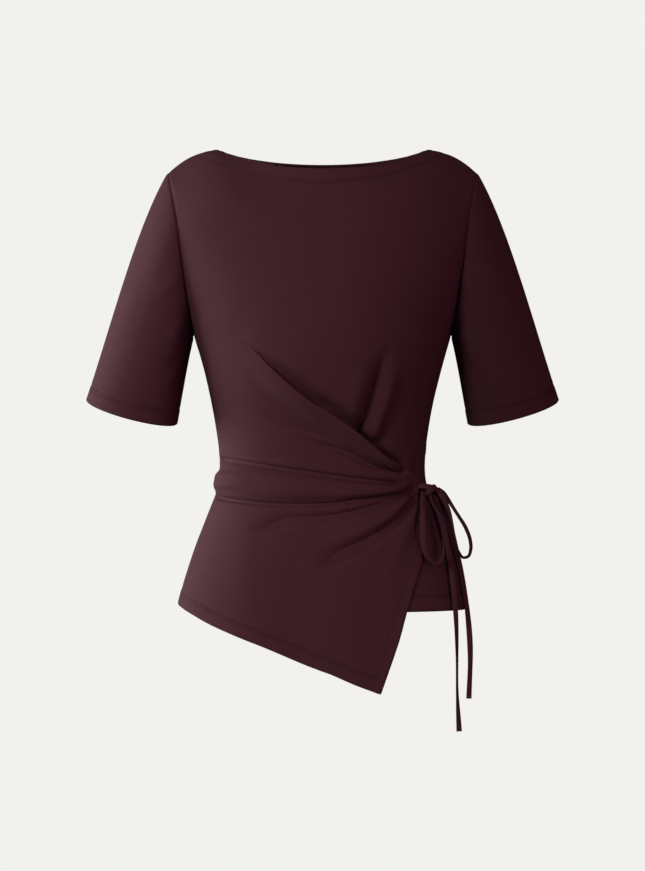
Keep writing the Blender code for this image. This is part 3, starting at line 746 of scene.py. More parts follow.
FREE_EDGE_RAY = (
    (69.6, -0.4150), (54.0, -0.4575), (46.2, -0.4904), (37.8, -0.5220), (31.3, -0.5536),
    (26.3, -0.5912), (19.1, -0.6499),
)
# the panel's hem: angle, height
WRAP_HEM = (
    (-90.0, -0.5475), (-72.0, -0.5520), (-60.4, -0.5578), (-44.7, -0.5700), (-30.9, -0.5825),
    (-18.3, -0.5958), (-3.6, -0.6165), (9.2, -0.6376), (19.1, -0.6499),
)
# ray, its place among the rows
WRAP_RAYS = (
    (FOLD_RAY, 0), (UPPER_RAY, 24), (BAND_TOP_RAY, 48), (BAND_FOOT_RAY, 72), (HIP_RAY, 90),
    (CORNER_RAY, 112), (SWEEP_RAY, 136), (FREE_EDGE_RAY, 160),
)
HEM_FIRST_ROW = 112

print(len(WRAP_RAYS), "rays")

# %% The over panel's grid
WRAP_STATIONS = 186
WRAP_ROWS = 220
# place among the rows, how many times closer the rows lie there, and how far that reaches
CLOSER_ROWS = ((0, 1.5, 4.0), (48, 4.5, 3.0), (75, 4.0, 3.5), (98, 1.0, 5.0), (122, 0.8, 6.0),
               (158, 1.6, 3.0))
ROW_STEPS = 1600
HEM_REACH_POWER = 3


def wrap_grid():
    """Angles, in the scale of routes, and heights: a row for each ray, and the hem's first row."""
    sampled = [smooth_route(np.array(ray) * (ANGLE_SCALE, 1.0), WRAP_STATIONS + 1)
               for ray, _ in WRAP_RAYS]
    places = [place for _, place in WRAP_RAYS]
    table = np.column_stack([places, np.stack(sampled).reshape(len(sampled), -1)])
    steps = np.linspace(0.0, places[-1], ROW_STEPS + 1)
    closeness = np.ones_like(steps)
    for place, times, reach in CLOSER_ROWS:
        closeness += times * np.exp(-((steps - place) / reach) ** 2)
    counted = np.cumsum(closeness) / closeness.sum() * WRAP_ROWS
    wanted = np.interp(np.arange(WRAP_ROWS + 1), counted, steps)
    corner_row = int(np.argmin(np.abs(wanted - HEM_FIRST_ROW)))
    wanted[corner_row] = HEM_FIRST_ROW
    grid = smooth_table(table, wanted).reshape(-1, WRAP_STATIONS + 1, 2)
    lower = slice(corner_row, None)
    hem = smooth_table(WRAP_HEM, grid[lower, -1, 0] / ANGLE_SCALE)[:, 0]
    reach = np.linspace(0.0, 1.0, WRAP_STATIONS + 1) ** HEM_REACH_POWER
    grid[lower, :, 1] += (hem - grid[lower, -1, 1])[:, None] * reach
    return grid, corner_row


def covered_depth(points):
    """How far a point of the front lies inside the over panel, zero where it shows."""
    fold = path_on_form(FOLD_RAY)
    edge = path_on_form(FREE_EDGE_RAY)
    to_fold, share, _ = distance_to_path(points, fold)
    to_edge, _, _ = distance_to_path(points, edge)
    fold_z = np.interp(points[..., 0], fold[::-1, 0], fold[::-1, 2])
    edge_x = np.interp(points[..., 2], edge[::-1, 2], edge[::-1, 0])
    covered = (points[..., 2] < fold_z) & (points[..., 0] < edge_x)
    return np.where(covered, np.minimum(to_fold, to_edge), 0.0)


# %% [markdown]
# The front shows two deep pleats that open upwards from under the fold, and a few small
# gathers by the tie. Above them the cloth is smooth over the bust. They could be one long
# ripple, but each pleat has its own lean and depth, so each is a row of its own.

# %% Folds of the front
# path in pixels, height, width to its left, to its right, width at the far end, fade in, fade out,
# profile
FRONT_FOLDS = (
    # The lit ridge beside the first pleat, the pleat itself, and the ridge on its other side
    (((352, 420), (356, 398), (361, 375), (366, 352)), 0.0034, 0.009, 0.007, 1.4, 0.10, 0.60, SOFT),
    (((362, 442), (367, 420), (372, 403), (380, 380), (386, 361), (393, 338)),
     -0.0150, 0.0054, 0.0026, 1.6, 0.02, 0.50, CREASED),
    (((371, 440), (378, 422), (385, 403), (394, 374), (401, 346)),
     0.0050, 0.0046, 0.0075, 1.5, 0.05, 0.60, SOFT),
    # The second pleat and the cloth beyond it
    (((378, 447), (385, 428), (392, 407), (398, 390), (406, 364)),
     -0.0056, 0.0032, 0.0085, 1.7, 0.02, 0.65, CREASED),
    # Small gathers beside the tie
    (((412, 477), (416, 460), (421, 443)), -0.0024, 0.0024, 0.0030, 1.4, 0.05, 0.50, CREASED),
    (((418, 480), (422, 462), (427, 441)), 0.0018, 0.0035, 0.0035, 1.4, 0.10, 0.50, SOFT),
    # The dip along the fold, where the front goes in under it
    (((405, 472), (384, 457), (355, 431), (326, 409), (290, 383), (263, 360), (248, 345)),
     -0.0125, 0.0095, 0.0095, 0.90, 0.06, 0.50, SOFT),
    # Faint drag lines over the bust
    (((300, 372), (310, 340), (330, 300)), 0.0010, 0.016, 0.016, 1.3, 0.30, 0.60, SOFT),
    (((232, 352), (243, 320), (262, 285)), -0.0009, 0.012, 0.014, 1.3, 0.30, 0.60, SOFT),
)
print(len(FRONT_FOLDS), "folds in the front")

# %% The front
UNDER_WRAP_SINK = 0.0034
SINK_WIDTH = 0.022
SINK_SPREAD = 0.034
# share along the fold where the sink begins to widen, and how far it takes
SPREAD_START, SPREAD_REACH = 0.42, 0.30
UNDER_WRAP_CALM = 0.9
SEAM_CALM = 0.012

points, front_normals, on_shoulder = panel_grid(-1)
edges = panel_edges(points, on_shoulder)
inside = covered_depth(points)
start_share = distance_to_path(points, path_on_form(FOLD_RAY))[1]
sink_width = SINK_WIDTH + SINK_SPREAD * ease((start_share - SPREAD_START) / SPREAD_REACH)
relief = fold_relief(points, FRONT_FOLDS) * (1.0 - UNDER_WRAP_CALM * ease(inside / SINK_WIDTH))
relief *= ease(edges[0] / SEAM_CALM)
relief -= UNDER_WRAP_SINK * ease(inside / sink_width)
front, front_points = sew_panel("front_cloth", "front", points, front_normals, edges, relief)

# %% [markdown]
# The back is hidden in the photograph. It is finished plainly: a smooth panel, drawn in at the
# waist, with the soft cross folds that jersey makes in the small of the back. The roll of cloth
# round the waist runs on into it from the right side seam and dies away.

# %% Folds of the back
# angle and height rows, height, widths, width at the far end, fade in, fade out, profile
BACK_FOLDS = (
    (((-90.0, -0.3995), (-66.0, -0.4010), (-34.0, -0.4070), (-8.0, -0.4110)),
     0.0056, 0.0115, 0.0115, 0.8, 0.0, 0.75, ROLLED),
    (((-90.0, -0.3727), (-60.0, -0.3775), (-30.0, -0.3860)),
     -0.0014, 0.0021, 0.0040, 1.6, 0.0, 0.80, CREASED),
    (((-90.0, -0.4163), (-62.0, -0.4190), (-36.0, -0.4240)),
     -0.0014, 0.0040, 0.0021, 1.6, 0.0, 0.80, CREASED),
    (((-52.0, -0.3520), (-10.0, -0.3660), (38.0, -0.3560)), 0.0018, 0.010, 0.012, 1.0, 0.40, 0.40, SOFT),
    (((56.0, -0.3840), (14.0, -0.3980), (-30.0, -0.3900)), 0.0016, 0.010, 0.011, 1.0, 0.40, 0.40, SOFT),
    (((78.0, -0.4060), (44.0, -0.4180), (8.0, -0.4240)), 0.0022, 0.009, 0.012, 1.2, 0.30, 0.50, SOFT),
    (((80.0, -0.4160), (50.0, -0.4320), (16.0, -0.4460)), -0.0018, 0.005, 0.006, 1.5, 0.20, 0.60, CREASED),
    (((82.0, -0.2500), (56.0, -0.2300), (34.0, -0.1900)), 0.0014, 0.012, 0.014, 1.3, 0.20, 0.60, SOFT),
    (((-82.0, -0.2500), (-58.0, -0.2320), (-36.0, -0.1960)), 0.0014, 0.012, 0.014, 1.3, 0.20, 0.60, SOFT),
)
print(len(BACK_FOLDS), "folds in the back")

# %% The back
points, back_normals, _ = panel_grid(1)
edges = panel_edges(points, on_shoulder)
relief = fold_relief(points, BACK_FOLDS, side=1)
back, back_points = sew_panel("back_cloth", "back", points, back_normals, edges, relief)

# %% [markdown]
# The over panel carries the picture. Between two sharp creases a soft roll of cloth lies round
# the waist, and bulges at the side. Long soft folds fan out below it. Its upper edge is cloth
# turned under, so rows are added beyond the first ray that roll under and back inside.

# %% Folds of the over panel
# path in pixels, height, width to its left, to its right, width at the far end, fade in, fade out,
# profile
WRAP_FOLDS = (
    # The roll round the waist, between its two creases
    (((412, 486.5), (384, 489), (344, 490), (303, 488), (266, 484.5), (241, 482), (219, 481)),
     0.0050, 0.0050, 0.0050, 3.9, 0.12, 0.22, ROLLED),
    (((268, 484), (250, 482), (238, 481.5), (219, 481)),
     0.0056, 0.0100, 0.0100, 1.15, 0.70, 0.0, ROLLED),
    # Its upper and lower creases
    (((409, 484.7), (384.5, 482.2), (344, 477.6), (303, 472.0), (266, 466.6), (241.6, 462.6), (214, 458.5)),
     -0.0078, 0.0028, 0.0020, 1.25, 0.10, 0.14, CREASED),
    (((407, 490.5), (384.5, 497), (350, 501), (333.5, 503.5), (303, 504.5), (266, 503.5), (241.6, 501),
      (212, 494.5)),
     -0.0068, 0.0022, 0.0018, 1.25, 0.10, 0.12, CREASED),
    # The fold under the main edge and the soft trough beside it
    (((402, 473), (381, 461), (355, 443), (325, 422), (298, 403), (270, 382), (254, 362)),
     0.0030, 0.0060, 0.0070, 1.8, 0.12, 0.45, SOFT),
    (((405, 472), (381, 468.5), (368, 464.5), (350, 455), (329, 448), (311, 441), (288, 431)),
     -0.0070, 0.0022, 0.0034, 1.7, 0.05, 0.50, CREASED),
    (((352, 450), (321, 436), (279, 421), (255, 404), (240, 391)),
     -0.0030, 0.0026, 0.0050, 1.4, 0.40, 0.50, CREASED),
    (((335, 440), (300, 420), (268, 394), (246, 367), (233, 346)),
     -0.0016, 0.0060, 0.0080, 1.3, 0.40, 0.45, SOFT),
    # Above the roll near the side
    (((300, 463), (268, 458), (241, 456), (221, 453.5)), -0.0013, 0.0026, 0.0040, 1.2, 0.40, 0.15, CREASED),
    (((318, 458), (285, 448), (250, 439), (228, 433)), 0.0012, 0.0090, 0.0110, 1.2, 0.40, 0.40, SOFT),
    # The folds that fan out over the hip
    (((415, 487), (395, 500), (364, 511), (333, 518.4), (315, 520.8), (294, 522), (277, 525.6), (247, 530.7)),
     -0.0096, 0.0022, 0.0050, 1.9, 0.04, 0.24, CREASED),
    (((414, 484.5), (392, 496), (362, 506), (330, 512), (300, 515), (270, 517)),
     0.0024, 0.0040, 0.0050, 2.2, 0.10, 0.50, SOFT),
    (((416, 496), (409, 510), (395, 526.5), (374, 541), (354, 551), (333.5, 561), (312, 571)),
     -0.0104, 0.0024, 0.0058, 2.0, 0.04, 0.30, CREASED),
    (((414, 491), (401, 507), (382, 522), (356, 535), (330, 545), (302, 554)),
     0.0040, 0.0042, 0.0060, 2.4, 0.10, 0.50, SOFT),
    (((419, 500), (412, 522), (402, 546), (388, 572), (374, 596)),
     0.0018, 0.0045, 0.0050, 2.0, 0.10, 0.60, SOFT),
    # The small nick in the roll's lower crease
    (((349, 509), (351, 503), (353, 496)), -0.0022, 0.0013, 0.0013, 1.0, 0.20, 0.30, SOFT),
    # Soft waves over the hip down to the hem
    (((252, 510), (246, 550), (244, 600), (246, 640)), 0.0016, 0.020, 0.020, 1.3, 0.40, 0.0, SOFT),
    (((300, 530), (296, 580), (300, 630), (304, 664)), -0.0016, 0.018, 0.018, 1.3, 0.40, 0.0, SOFT),
    (((356, 545), (350, 600), (352, 640), (354, 686)), 0.0010, 0.018, 0.018, 1.3, 0.40, 0.0, SOFT),
)
print(len(WRAP_FOLDS), "folds in the over panel")

# %% How far each point lies from the panel's edges
SIDE_ANGLE = 90.0
AT_SIDE = 89.0
ROWS_ABOVE_HEM = 10

grid, hem_first = wrap_grid()
angle = np.clip(grid[..., 0] / ANGLE_SCALE, -SIDE_ANGLE, SIDE_ANGLE)
base = form_point(angle, grid[..., 1])
wrap_normals = grid_normals(base, base * (1.0, 1.0, 0.0))
at_side = angle[:, -1] < -AT_SIDE
wrap_normals[at_side, -1, 1] = 0.0
wrap_normals = unit(wrap_normals)
to_fold, share, _ = distance_to_path(base, path_on_form(FOLD_RAY))
to_edge = distance_to_path(base, path_on_form(FREE_EDGE_RAY))[0]
to_hem = distance_to_path(base, form_point(angle[hem_first:, -1], grid[hem_first:, -1, 1]))[0]
near_hem = np.arange(len(grid))[:, None] >= hem_first - ROWS_ABOVE_HEM
from_hem = np.where(near_hem, to_hem, NO_HEM)
along_rays = lengths_along(base, 1)
from_side = np.where(at_side[:, None], along_rays[:, -1:] - along_rays, NO_HEM)
print("over panel:", base.shape[0], "rows of", base.shape[1], "points")

# %% The lift of the panel and of its fold
PANEL_LIFT = 0.0005
EDGE_LIFT = 0.0018
EDGE_WIDTH = 0.010
FOLD_LIFT = 0.0066
FOLD_WIDTH = 0.012
# The fold stands proud near the tie and sinks into the cloth of the chest where it starts
FOLD_FADE_START, FOLD_FADE_END = 0.44, 0.70
SUNK_START = -0.0009
START_SPREAD = 0.030

shown = 1.0 - ease((share - FOLD_FADE_START) / (FOLD_FADE_END - FOLD_FADE_START))
near_fold = np.exp(-(to_fold / (FOLD_WIDTH + START_SPREAD * (1.0 - shown))) ** 2)
rim_height = SUNK_START + (FOLD_LIFT - SUNK_START) * shown
lift = PANEL_LIFT + (rim_height - PANEL_LIFT) * near_fold
lift += (EDGE_LIFT - PANEL_LIFT) * np.exp(-(to_edge / EDGE_WIDTH) ** 2)
height = lift + fold_relief(base, WRAP_FOLDS)
height -= hem_dip(to_edge, FREE_EDGE_HEM) + hem_dip(from_hem, WRAP_HEM_WIDTH) + seam_dip(from_side)
wrap_points = base + wrap_normals * height[..., None]

# %% [markdown]
# The panel's upper edge is not cut there: the cloth turns round a soft roll and runs back in
# under itself. Rows are added beyond the first ray for that, first half a turn and then a
# straight stretch.

# %% The turned-under edge
ROLL_ROWS = 12
TUCK_ROWS = 5
ROLL_RADIUS = 0.0021
LEAST_ROLL = 0.35
ROLL_TUCK = 0.010
ROW_IN_FROM_RIM = 3

rim, rim_normal = wrap_points[0], wrap_normals[0]
away = unit(rim - wrap_points[ROW_IN_FROM_RIM])
radius = ROLL_RADIUS * (LEAST_ROLL + (1.0 - LEAST_ROLL) * shown[0])[:, None]
rolled, rolled_normals = [], []
for step in range(ROLL_ROWS, 0, -1):
    turn = math.pi * step / ROLL_ROWS
    rolled.append(rim + radius * (math.sin(turn) * away - (1.0 - math.cos(turn)) * rim_normal))
    rolled_normals.append(math.sin(turn) * away + math.cos(turn) * rim_normal)
tucked = [rolled[0] - away * ROLL_TUCK * step / TUCK_ROWS for step in range(TUCK_ROWS, 0, -1)]
tucked_normals = [rolled_normals[0]] * TUCK_ROWS

# %% The over panel
ADDED_ROW_LENGTH = 0.001
added = ROLL_ROWS + TUCK_ROWS


def with_added_rows(rows, value):
    """Puts rows of one value before those of the fan, for the cloth that is turned under."""
    return np.concatenate([np.full((added, rows.shape[1]), value), rows])


all_points = np.concatenate([np.stack(tucked), np.stack(rolled), wrap_points])
all_normals = np.concatenate([np.stack(tucked_normals), np.stack(rolled_normals), wrap_normals])
wall = with_added_rows(wall_thickness((to_edge, FREE_EDGE_HEM), (from_hem, WRAP_HEM_WIDTH)), CLOTH)
across = np.concatenate([np.repeat(grid[:1, :, 0], added, 0), grid[..., 0]])
under = grid[:1, :, 1] + ADDED_ROW_LENGTH * np.arange(added, 0, -1)[:, None]
down = np.concatenate([under, grid[..., 1]])
edge_sewn = np.where(base[..., 2] < EDGE_STITCH_TOP, to_edge - FREE_EDGE_HEM, NO_HEM)
sewn = with_added_rows(np.minimum(edge_sewn, from_hem - WRAP_HEM_WIDTH), NO_HEM)
wrap = cloth_shell("wrap_cloth", all_points, all_normals, wall, across, down, sewn)
finish_piece(wrap, JERSEY, "wrap")

# %% [markdown]
# A set-in sleeve is a tube from the armhole seam to the cuff. Its head is a little fuller than
# the armhole, so the cloth stands off the seam before it falls, and it widens to the cuff. A
# straight line from each point of the seam to the cuff would look like a funnel, so each runs as
# a smooth curve with its own direction at both ends.

# %% The form of a sleeve
CUFF_CENTRE = (0.2312, 0.010, -0.3155)
CUFF_HALF_WIDTH = 0.0570
CUFF_HALF_DEPTH = 0.0500
CUFF_SLOPE = math.radians(14.8)
CUFF_FRONT_DROP = 0.19
SLEEVE_LEAN_BACK = 0.06
CAP_FLARE = 0.30
CAP_LIFT = 0.03
CAP_FULLNESS = 0.30
SIDE_FLARE = 0.10
CAP_REACH = 0.75
CUFF_FLARE = 0.07
SLEEVE_RINGS = 110


def sleeve_grid(sign):
    """Outer points and normals of the wearer's left sleeve (sign 1) or right one (sign -1)."""
    front_edge = panel_grid(-1)[0][:ARMHOLE_ROWS + 1, -1]
    back_edge = panel_grid(1)[0][ARMHOLE_ROWS - 1:0:-1, -1]
    seam = np.concatenate([front_edge, back_edge])
    seam[[0, ARMHOLE_ROWS], 1] = 0.0
    radial = armhole_radial(seam)
    turn = np.linspace(0.0, 2.0 * math.pi, len(seam), endpoint=False)
    axis = unit([math.sin(CUFF_SLOPE), SLEEVE_LEAN_BACK, -math.cos(CUFF_SLOPE)])
    inward = np.array([-math.cos(CUFF_SLOPE), 0.0, -math.sin(CUFF_SLOPE)])
    forward = np.array([0.0, -math.sqrt(1.0 - CUFF_FRONT_DROP**2), -CUFF_FRONT_DROP])
    cuff = (np.array(CUFF_CENTRE)
            - CUFF_HALF_WIDTH * np.cos(turn)[:, None] * inward
            + CUFF_HALF_DEPTH * np.sin(turn)[:, None] * forward)
    over = np.clip(np.cos(turn), 0.0, 1.0)[:, None]
    beside = np.sin(turn)[:, None]
    start = unit(axis + over * (CAP_FLARE, 0.0, CAP_LIFT)
                 + beside * (0.0, -CAP_FULLNESS, 0.0)
                 + np.abs(beside) * (SIDE_FLARE, 0.0, 0.0))
    end = unit(axis + CUFF_FLARE * np.cos(turn)[:, None] * (1.0, 0.0, 0.0))
    away = unit([SHOULDER_Z - UNDERARM_Z, 0.0, ARMHOLE[-1][1] - SHOULDER_HALF])
    seam = seam + SEAM_GAP * away
    reach = np.linalg.norm(cuff - seam, axis=1)[:, None]
    t = np.linspace(0.0, 1.0, SLEEVE_RINGS + 1)[:, None, None]
    points = (seam * (2 * t**3 - 3 * t**2 + 1) + cuff * (3 * t**2 - 2 * t**3)
              + CAP_REACH * reach * start * (t**3 - 2 * t**2 + t) + reach * end * (t**3 - t**2))
    wrapped = np.concatenate([points[:, -1:], points, points[:, :1]], axis=1)
    normals = grid_normals(wrapped, wrapped - points.mean(axis=1, keepdims=True))[:, 1:-1]
    normals[0] = radial
    flip = np.array([sign, 1.0, 1.0])
    return points * flip, normals * flip


# %% The sleeves
# share round the tube (0 on top, 0.25 in front), share down it, at the start and the end;
# then height and width
SLEEVE_FOLDS = (
    (0.30, 0.04, 0.24, 0.42, 0.0016, 0.008),
    (0.38, 0.10, 0.33, 0.55, 0.0018, 0.009),
    (0.44, 0.30, 0.30, 0.80, -0.0012, 0.008),
    (0.62, 0.10, 0.70, 0.50, 0.0018, 0.010),
    (0.56, 0.05, 0.62, 0.38, -0.0012, 0.007),
    (0.16, 0.35, 0.12, 0.85, 0.0010, 0.014),
    (0.86, 0.30, 0.90, 0.85, 0.0010, 0.014),
)
FOLD_STEPS = 24
FOLD_GROWS, FOLD_DIES = 0.35, 0.5
# the two sleeves' folds lie this share further round, or less far, so that they differ
UNEVEN_TURN = 0.012


def sleeve_relief(points, sign):
    """The height of a sleeve's folds at each of its points."""
    relief = np.zeros(points.shape[:2])
    shift = UNEVEN_TURN * sign
    steps = np.linspace(0.0, 1.0, FOLD_STEPS)[:, None]
    for turn_start, down_start, turn_end, down_end, rise, width in SLEEVE_FOLDS:
        rows = (np.array([down_start, turn_start + shift]) * (1 - steps)
                + np.array([down_end, turn_end + shift]) * steps)
        path = points[(rows[:, 0] * SLEEVE_RINGS).astype(int),
                      (rows[:, 1] % 1.0 * points.shape[1]).astype(int)]
        gap, share, _ = distance_to_path(points, path)
        fade = faded(share, FOLD_GROWS) * faded(1.0 - share, FOLD_DIES)
        relief += rise * fade * np.exp(-(gap / width) ** 2)
    return relief


def build_sleeve(name, node, sign):
    """Makes a sleeve, and returns it with its outer points and their normals."""
    points, normals = sleeve_grid(sign)
    down = lengths_along(points, 0)
    from_cuff = down[-1:] - down
    height = sleeve_relief(points, sign) - seam_dip(down) - hem_dip(from_cuff, SLEEVE_HEM)
    shaped = points + normals * height[..., None]
    wall = wall_thickness((from_cuff, SLEEVE_HEM))
    around = lengths_along(np.concatenate([points, points[:, :1]], axis=1), 1)[:, :-1]
    piece = cloth_shell(name, shaped, normals, wall, around, -down, from_cuff - SLEEVE_HEM, closed=True)
    finish_piece(piece, JERSEY, node)
    return piece, shaped, normals


right_sleeve, right_points, right_normals = build_sleeve("sleeve_right_cloth", "sleeve_right", -1)
left_sleeve, left_points, left_normals = build_sleeve("sleeve_left_cloth", "sleeve_left", 1)

# %% [markdown]
# The tie is a narrow strap of folded jersey. It turns as it hangs, so it is broad in one place
# and shows only its edge in another. A round tube would hide that. Each stretch is a flat,
# round-edged section carried along its solid's route, with its own turns.

# %% The strap's routes and turns
LOOP_FRONT = (
    (0.1205, -0.0515, -0.4112), (0.1200, -0.0580, -0.4230), (0.1193, -0.0700, -0.4360),
    (0.1188, -0.0755, -0.4523), (0.1199, -0.0780, -0.4708), (0.1240, -0.0775, -0.4867),
    (0.1318, -0.0740, -0.4951), (0.1385, -0.0700, -0.4952), (0.1433, -0.0680, -0.4870),
    (0.1440, -0.0660, -0.4752), (0.1417, -0.0635, -0.4562), (0.1370, -0.0600, -0.4372),
    (0.1305, -0.0550, -0.4240), (0.1272, -0.0500, -0.4130),
)
LOOP_BACK = (
    (0.1375, -0.0465, -0.4090), (0.1441, -0.0475, -0.4134), (0.1497, -0.0490, -0.4208),
    (0.1568, -0.0505, -0.4321), (0.1624, -0.0510, -0.4408), (0.1712, -0.0510, -0.4553),
    (0.1766, -0.0505, -0.4709), (0.1772, -0.0500, -0.4805), (0.1739, -0.0500, -0.4894),
    (0.1679, -0.0500, -0.4906),
    (0.1631, -0.0505, -0.4840), (0.1589, -0.0515, -0.4709), (0.1547, -0.0520, -0.4505),
    (0.1500, -0.0520, -0.4326), (0.1440, -0.0520, -0.4200), (0.1385, -0.0504, -0.4111),
)
TAIL_INNER = (
    (0.1325, -0.0465, -0.4128), (0.1370, -0.0475, -0.4280), (0.1435, -0.0480, -0.4495),
    (0.1500, -0.0500, -0.4781), (0.1543, -0.0540, -0.5078), (0.1577, -0.0590, -0.5410),
    (0.1594, -0.0620, -0.5706), (0.1602, -0.0630, -0.6063), (0.1604, -0.0635, -0.6479),
    (0.1628, -0.0635, -0.6972),
)
TAIL_OUTER = (
    (0.1380, -0.0450, -0.4110), (0.1425, -0.0408, -0.4225), (0.1510, -0.0350, -0.4450),
    (0.1591, -0.0310, -0.4763), (0.1655, -0.0285, -0.5028), (0.1709, -0.0290, -0.5328),
    (0.1751, -0.0300, -0.5664), (0.1774, -0.0300, -0.6024), (0.1758, -0.0300, -0.6608),
)
# name, solid, route, what its far end is, then rows of share along it and turn in degrees:
# 0 shows the strap's face to the front, 90 its edge
STRAPS = (
    ("tie_loop_front_strap", "tie_loop_front", LOOP_FRONT, "object",
     ((0.0, 40), (0.15, 12), (0.35, 5), (0.50, 40), (0.62, 80), (0.85, 84), (1.0, 60))),
    ("tie_loop_back_strap", "tie_loop_back", LOOP_BACK, "object",
     ((0.0, 30), (0.15, 56), (0.35, 52), (0.50, 60), (0.62, 80), (0.80, 60), (1.0, 20))),
    ("tie_tail_inner_strap", "tie_tail_inner", TAIL_INNER, "bare",
     ((0.0, 0), (0.15, 4), (0.30, 20), (0.45, 22), (0.60, 50), (0.74, 70), (0.84, 66), (0.93, 42),
      (1.0, 16))),
    ("tie_tail_outer_strap", "tie_tail_outer", TAIL_OUTER, "bare",
     ((0.0, 0), (0.20, 4), (0.35, 26), (0.55, 36), (0.72, 6), (0.86, 34), (1.0, 20))),
)

# %% A strap along a route
STRAP_WIDTH = 0.0070
STRAP_THICK = 0.0018
STRAP_SIDES = 16
STRAP_POINTS = 150
SECTION_FLATNESS = (0.7, 0.8)


def strap_section():
    """A flat section with round edges."""
    turn = np.linspace(0.0, 2.0 * math.pi, STRAP_SIDES, endpoint=False)
    return np.stack([0.5 * STRAP_WIDTH * signed_power(np.cos(turn), SECTION_FLATNESS[0]),
                     0.5 * STRAP_THICK * signed_power(np.sin(turn), SECTION_FLATNESS[1])], -1)


def ring_faces(index):
    """The faces between rings of point numbers that close on themselves."""
    ahead = np.roll(index, -1, axis=1)
    return np.stack([index[:-1], ahead[:-1], ahead[1:], index[1:]], -1).reshape(-1, 4).tolist()


def strap_surface(route, turns, count):
    """Points, faces and cloth map of a strap along a route, and the points of its middle line."""
    path = smooth_route(route, count)
    tangents = unit(np.gradient(path, axis=0))
    front = np.array([0.0, -1.0, 0.0])
    broad = unit(np.cross(tangents, front))
    face = unit(np.cross(broad, tangents))
    turn = np.radians(smooth_table(turns, np.linspace(0.0, 1.0, count))[:, 0])[:, None]
    width_way = broad * np.cos(turn) + face * np.sin(turn)
    thick_way = face * np.cos(turn) - broad * np.sin(turn)
    section = strap_section()
    rings = (path[:, None] + section[None, :, :1] * width_way[:, None]
             + section[None, :, 1:] * thick_way[:, None])
    points = rings.reshape(-1, 3)
    index = np.arange(len(points)).reshape(count, STRAP_SIDES)
    faces = ring_faces(index) + [index[0][::-1].tolist(), index[-1].tolist()]
    a, b, c = (points[faces[0][corner]] for corner in (0, 1, 2))
    if np.dot(np.cross(b - a, c - a), points[0] - path[0]) < 0.0:
        faces = [row[::-1] for row in faces]
    # measured across the width on both faces, so that the ribs have no join at the edges
    around = np.tile(section[:, 0], count)
    along = np.repeat(lengths_along(path[None], 1)[0], STRAP_SIDES)
    return points, faces, np.stack([around, along], -1), path


# %% The loops and the tails
for name, node, route, far_end, turns in STRAPS:
    points, faces, cloth_map, path = strap_surface(route, turns, STRAP_POINTS)
    strap = mesh_piece(name, points, faces, cloth_map)
    finish_piece(strap, STRAP, node)

# %% [markdown]
# A bow's knot is the strap wound round its own loops. Tying it in full would hide most of the
# strap, so its core is a squarish bead, which two bands of strap cross: one drawn out of the
# panel's gathered corner over the top, and one that comes up out of the front loop and goes over
# to the back.

# %% The knot
KNOT_CENTRE = (0.1294, -0.0480, -0.4080)
KNOT_HALF = (0.0102, 0.0058, 0.0046)
KNOT_POWER = 0.85
KNOT_TILT = math.radians(14.0)
KNOT_RINGS = 32
KNOT_SIDES = 40
BAND_POINTS = 40
# route of each band, then rows of share along it and turn in degrees
KNOT_BANDS = (
    (((0.1130, -0.0490, -0.4050), (0.1175, -0.0528, -0.4050), (0.1240, -0.0548, -0.4054),
      (0.1305, -0.0546, -0.4066), (0.1360, -0.0520, -0.4092), (0.1395, -0.0478, -0.4130)),
     ((0.0, 20), (0.5, 34), (1.0, 50))),
    (((0.1240, -0.0500, -0.4170), (0.1256, -0.0562, -0.4136), (0.1288, -0.0578, -0.4100),
      (0.1318, -0.0556, -0.4072), (0.1330, -0.0500, -0.4066), (0.1334, -0.0455, -0.4080)),
     ((0.0, 10), (0.5, 0), (1.0, 0))),
)


def knot_core():
    """A bead with flattened sides, its points, faces and cloth map."""
    turn = np.linspace(0.0, 2.0 * math.pi, KNOT_SIDES, endpoint=False)[None, :]
    tilt = np.linspace(-0.5 * math.pi, 0.5 * math.pi, KNOT_RINGS + 1)[1:-1, None]
    along = np.broadcast_to(signed_power(np.sin(tilt), KNOT_POWER), (KNOT_RINGS - 1, KNOT_SIDES))
    width = np.cos(tilt) ** KNOT_POWER
    rings = np.stack([along, width * signed_power(np.cos(turn), KNOT_POWER),
                      width * signed_power(np.sin(turn), KNOT_POWER)], -1).reshape(-1, 3)
    x, y, z = (np.concatenate([rings, [(-1.0, 0.0, 0.0), (1.0, 0.0, 0.0)]]) * KNOT_HALF).T
    points = np.stack([x * math.cos(KNOT_TILT) + z * math.sin(KNOT_TILT), y,
                       z * math.cos(KNOT_TILT) - x * math.sin(KNOT_TILT)], -1) + KNOT_CENTRE
    index = np.arange(len(rings)).reshape(-1, KNOT_SIDES)
    ahead = np.roll(index, -1, axis=1)
    faces = ring_faces(index)
    faces += [[len(rings), b, a] for a, b in zip(index[0].tolist(), ahead[0].tolist())]
    faces += [[len(rings) + 1, a, b] for a, b in zip(index[-1].tolist(), ahead[-1].tolist())]
    return points, faces, np.stack([z, x], -1)


parts = [knot_core()]
parts += [strap_surface(route, turns, BAND_POINTS)[:3] for route, turns in KNOT_BANDS]
points, faces = np.zeros((0, 3)), []
for part_points, part_faces, _ in parts:
    faces += [[corner + len(points) for corner in face] for face in part_faces]
    points = np.concatenate([points, part_points])
knot_map = np.concatenate([part_map for _, _, part_map in parts])
knot = mesh_piece("tie_knot_strap", points, faces, knot_map)
finish_piece(knot, STRAP, "tie_knot")
print("knot:", len(faces), "faces")

# %% [markdown]
# The hems are sewn with a twin needle: two even rows of short stitches. There are over a thousand,
# too many to place by hand, so Geometry Nodes lay them along paths on the cloth: one small rounded
# stitch is instanced at each step and turned to the path and to the cloth, and the result is then
# made a plain mesh.

